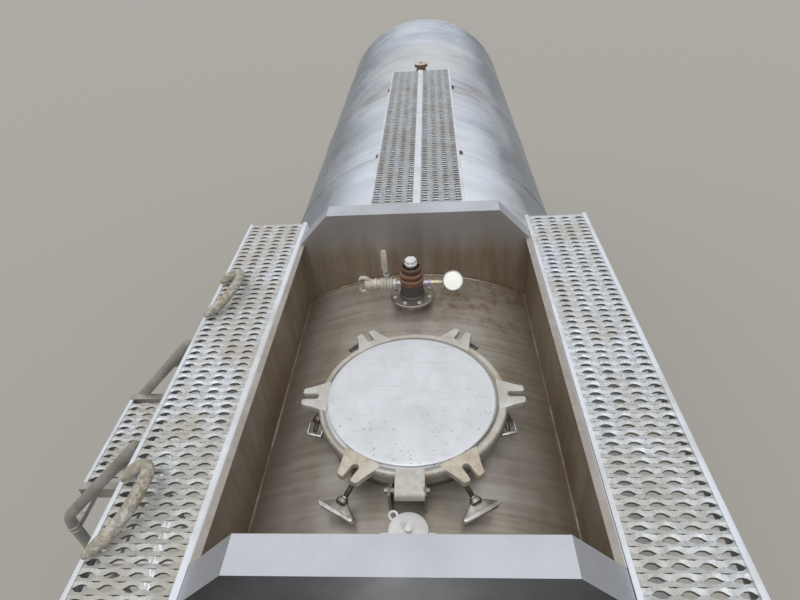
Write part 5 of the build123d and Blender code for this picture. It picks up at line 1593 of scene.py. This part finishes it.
def make_landing_details():
    bolts = bmesh.new()
    ribs = bmesh.new()
    rib = [(0.047, 0.076), (0.12, 0.014), (0.062, 0.014), (0.047, 0.022)]
    collar = rectangle(0.064, 0.555, 0.585)
    grease = [(0.005, 0.0), (0.005, 0.006), (0.003, 0.008), (0.0035, 0.012), (0.0, 0.014)]
    for side in (-1, 1):
        leg = Vector((GEAR_X, side * GEAR_Y, 0))
        for heading in (-1, 1):
            for z in (1.33, 1.42, 1.5):
                for y in (0.645, 0.715):
                    place = (GEAR_X + heading * 0.0655, side * y, z)
                    hex_head(bolts, place, AHEAD * heading, 0.012, 0.009)
            for along, across in ((AHEAD, ROADSIDE), (ROADSIDE, AHEAD)):
                slab(ribs, turned_over(rib, heading), leg, along, UP, 0.008)
                slab(ribs, collar, leg + across * heading * LEG_FACE, along, UP, 0.007, rounding=0.001)
        turned(bolts, grease, leg + Vector((0.0575, 0, 0.83)), AHEAD, steps=12)
    fitted("landing_bolts", bolts, "nut", "landing_gear", replace=False)
    fitted("landing_ribs", ribs, "black", "landing_gear", replace=False)
    box = bmesh.new()
    shaft = Vector((GEAR_X, COVER_Y, SHAFT_Z))
    cover = mirrored([(0.055, -0.09), (0.055, 0.07), (0.035, 0.09)])
    slab(box, cover, shaft + ROADSIDE * 0.002, AHEAD, UP, 0.006, rounding=0.0015)
    for a, b in ((-0.045, -0.08), (0.045, -0.08), (0.045, 0.062), (-0.045, 0.062), (0.0, 0.082), (0.0, -0.08)):
        hex_head(box, shaft + Vector((a, 0.005, b)), ROADSIDE, 0.0085, 0.006)
    boss = [(0.014, 0.0), (0.03, 0.0), (0.026, 0.014), (0.018, 0.018), (0.014, 0.018)]
    turned(box, boss, shaft + ROADSIDE * 0.005, ROADSIDE, steps=32, closed=True)
    grip = [(0.0135, 0.0), (0.017, 0.001)]
    for n in range(9):
        grip += [(0.0178, 0.006 + n * 0.0105), (0.016, 0.0105 + n * 0.0105)]
    grip += [(0.0175, 0.1), (0.0, 0.1005)]
    crank_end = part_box("landing_crank")[1].y
    turned(box, grip, (GEAR_X, crank_end - 0.1012, SHAFT_Z - 0.29), ROADSIDE, steps=24)
    fitted("gear_box_details", box, "grey_frame", "landing_crank", replace=False)


make_landing_details()

# Front connections: glad hands and the socket's hinged cover
PANEL_LOW, PANEL_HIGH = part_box("front_connections")
PANEL = Vector((PANEL_LOW.x + 0.006, 0, (PANEL_LOW.z + PANEL_HIGH.z) / 2))


def make_glad_hands():
    hands = bmesh.new()
    neck = [(0.02, 0.0), (0.02, 0.008), (0.014, 0.01), (0.014, 0.02)]
    seal = [(0.009, 0.019), (0.0205, 0.019), (0.0205, 0.0245), (0.017, 0.0262), (0.009, 0.0262)]
    arm = [(0.012, -0.012), (0.038, -0.009), (0.04, 0.004), (0.034, 0.009), (0.012, 0.013)]
    for side in (-1, 1):
        place = PANEL + ROADSIDE * side * 0.15
        turned(hands, neck, place, AHEAD, steps=28)
        turned(hands, seal, place, AHEAD, steps=28, closed=True)
        slab(hands, arm, place + AHEAD * 0.0215, ROADSIDE * side, UP, 0.006, rounding=0.001)
    fitted("glad_hands", hands, "bracket", "front_connections", replace=False)
    socket = bmesh.new()
    turned(socket, [(0.03, 0.0), (0.03, 0.004), (0.0285, 0.006)], PANEL, AHEAD, steps=32)
    cover = mirrored([(0.02, -0.021), (0.0225, 0.012), (0.012, 0.0215)])
    slab(socket, cover, PANEL + AHEAD * 0.0245, ROADSIDE, UP, 0.0035, rounding=0.001)
    for y in (-0.19, -0.06, 0.06, 0.19):
        hex_head(socket, PANEL + ROADSIDE * y, AHEAD, 0.007, 0.005)
    fitted("light_socket", socket, "black", "front_connections", replace=False)


make_glad_hands()

# Rear outlet: flange bolts, quick-coupling ears and cap chain eye
OUTLET_X = -5.95
OUTLET_Z = 1.18


def make_outlet_details():
    bolts = bmesh.new()
    flange = Vector((OUTLET_X - 0.29, 0, OUTLET_Z))
    end = Vector((OUTLET_X - 0.37, 0, OUTLET_Z))
    for out in around(8, ROADSIDE, UP, 0.5):
        hex_head(bolts, flange + out * 0.072, AHEAD, 0.0085, 0.008)
        hex_head(bolts, end + out * 0.072, -AHEAD, 0.0085, 0.008)
    fitted("outlet_bolts", bolts, "nut", "outlet_valve", replace=False)
    cap = bmesh.new()
    shell = [(0.052, 0.0), (0.052, 0.03), (0.048, 0.034), (0.02, 0.036)]
    turned(cap, shell, end, -AHEAD, steps=40)
    lever = [
        (0.046, 0.004), (0.064, 0.004), (0.068, 0.012), (0.066, 0.05), (0.058, 0.052), (0.056, 0.018),
        (0.046, 0.016),
    ]
    for side in (-1, 1):
        slab(cap, turned_over(lever, side), end, ROADSIDE, -AHEAD, 0.012, rounding=0.0015)
    eye = [(0.009, -0.0022), (0.0132, -0.0022), (0.0132, 0.0022), (0.009, 0.0022)]
    turned(cap, eye, end + Vector((-0.026, 0, -0.058)), ROADSIDE, steps=24, closed=True)
    fitted("outlet_cap", cap, "steel", "outlet_valve", replace=False)
    handle = bmesh.new()
    stem = Vector((OUTLET_X - 0.33, 0, OUTLET_Z + 0.094))
    rod(handle, stem, stem + UP * 0.03, 0.009, sides=16)
    grip = [(-0.012, -0.01), (0.17, -0.014), (0.178, 0.0), (0.17, 0.014), (-0.012, 0.01)]
    slab(handle, grip, stem + UP * 0.026, ROADSIDE, -AHEAD, 0.006, rounding=0.0012)
    fitted("outlet_lever", handle, "grey_frame", "outlet_valve", replace=False)


make_outlet_details()

# Light, floor and background


def lay_floor():
    """Pale, dull floor all round."""
    material, tree, shader, _ = new_finish("pale_floor")
    feed(tree, shader, {"Base Color": (0.37, 0.35, 0.315, 1.0), "Roughness": 0.9})
    floor = bpy.data.meshes.new("pale_floor")
    shape = bmesh.new()
    bmesh.ops.create_grid(shape, x_segments=1, y_segments=1, size=70)
    shape.to_mesh(floor)
    shape.free()
    floor.materials.append(material)
    ground = bpy.data.objects.new("pale_floor", floor)
    bpy.context.scene.collection.objects.link(ground)


def light_scene():
    """Soft sky with a darker skyline in reflections, and one broad lamp high at the front."""
    world = bpy.data.worlds.new("soft_sky")
    bpy.context.scene.world = world
    world.use_nodes = True
    tree = world.node_tree
    height = xyz(tree, put(tree, "ShaderNodeTexCoord").outputs["Generated"])[2]
    sky = over(tree, between(tree, height, 0.1, 0.7), (0.74, 0.77, 0.82), (0.98, 0.99, 1.0))
    path = put(tree, "ShaderNodeLightPath").outputs
    skyline = between(tree, height, 0.03, 0.22, 1.0, 0.0)
    skyline = times(tree, skyline, sums(tree, "SUBTRACT", 1.0, path["Is Camera Ray"]))
    seen = sums(tree, "MAXIMUM", path["Is Camera Ray"], path["Is Glossy Ray"])
    seen = sums(tree, "MAXIMUM", seen, path["Is Transmission Ray"])
    feed(tree, tree.nodes["Background"], {
        "Color": over(tree, skyline, sky, (0.24, 0.25, 0.26)),
        "Strength": between(tree, seen, 0, 1, 0.85, 1.0),
    })
    sun = bpy.data.lights.new("broad_lamp", "SUN")
    sun.energy = 0.9
    sun.angle = math.radians(40)
    lamp = bpy.data.objects.new("broad_lamp", sun)
    lamp.rotation_euler = (math.radians(6), math.radians(24), 0)
    bpy.context.scene.collection.objects.link(lamp)


lay_floor()
light_scene()
bpy.context.scene.view_settings.view_transform = "Standard"
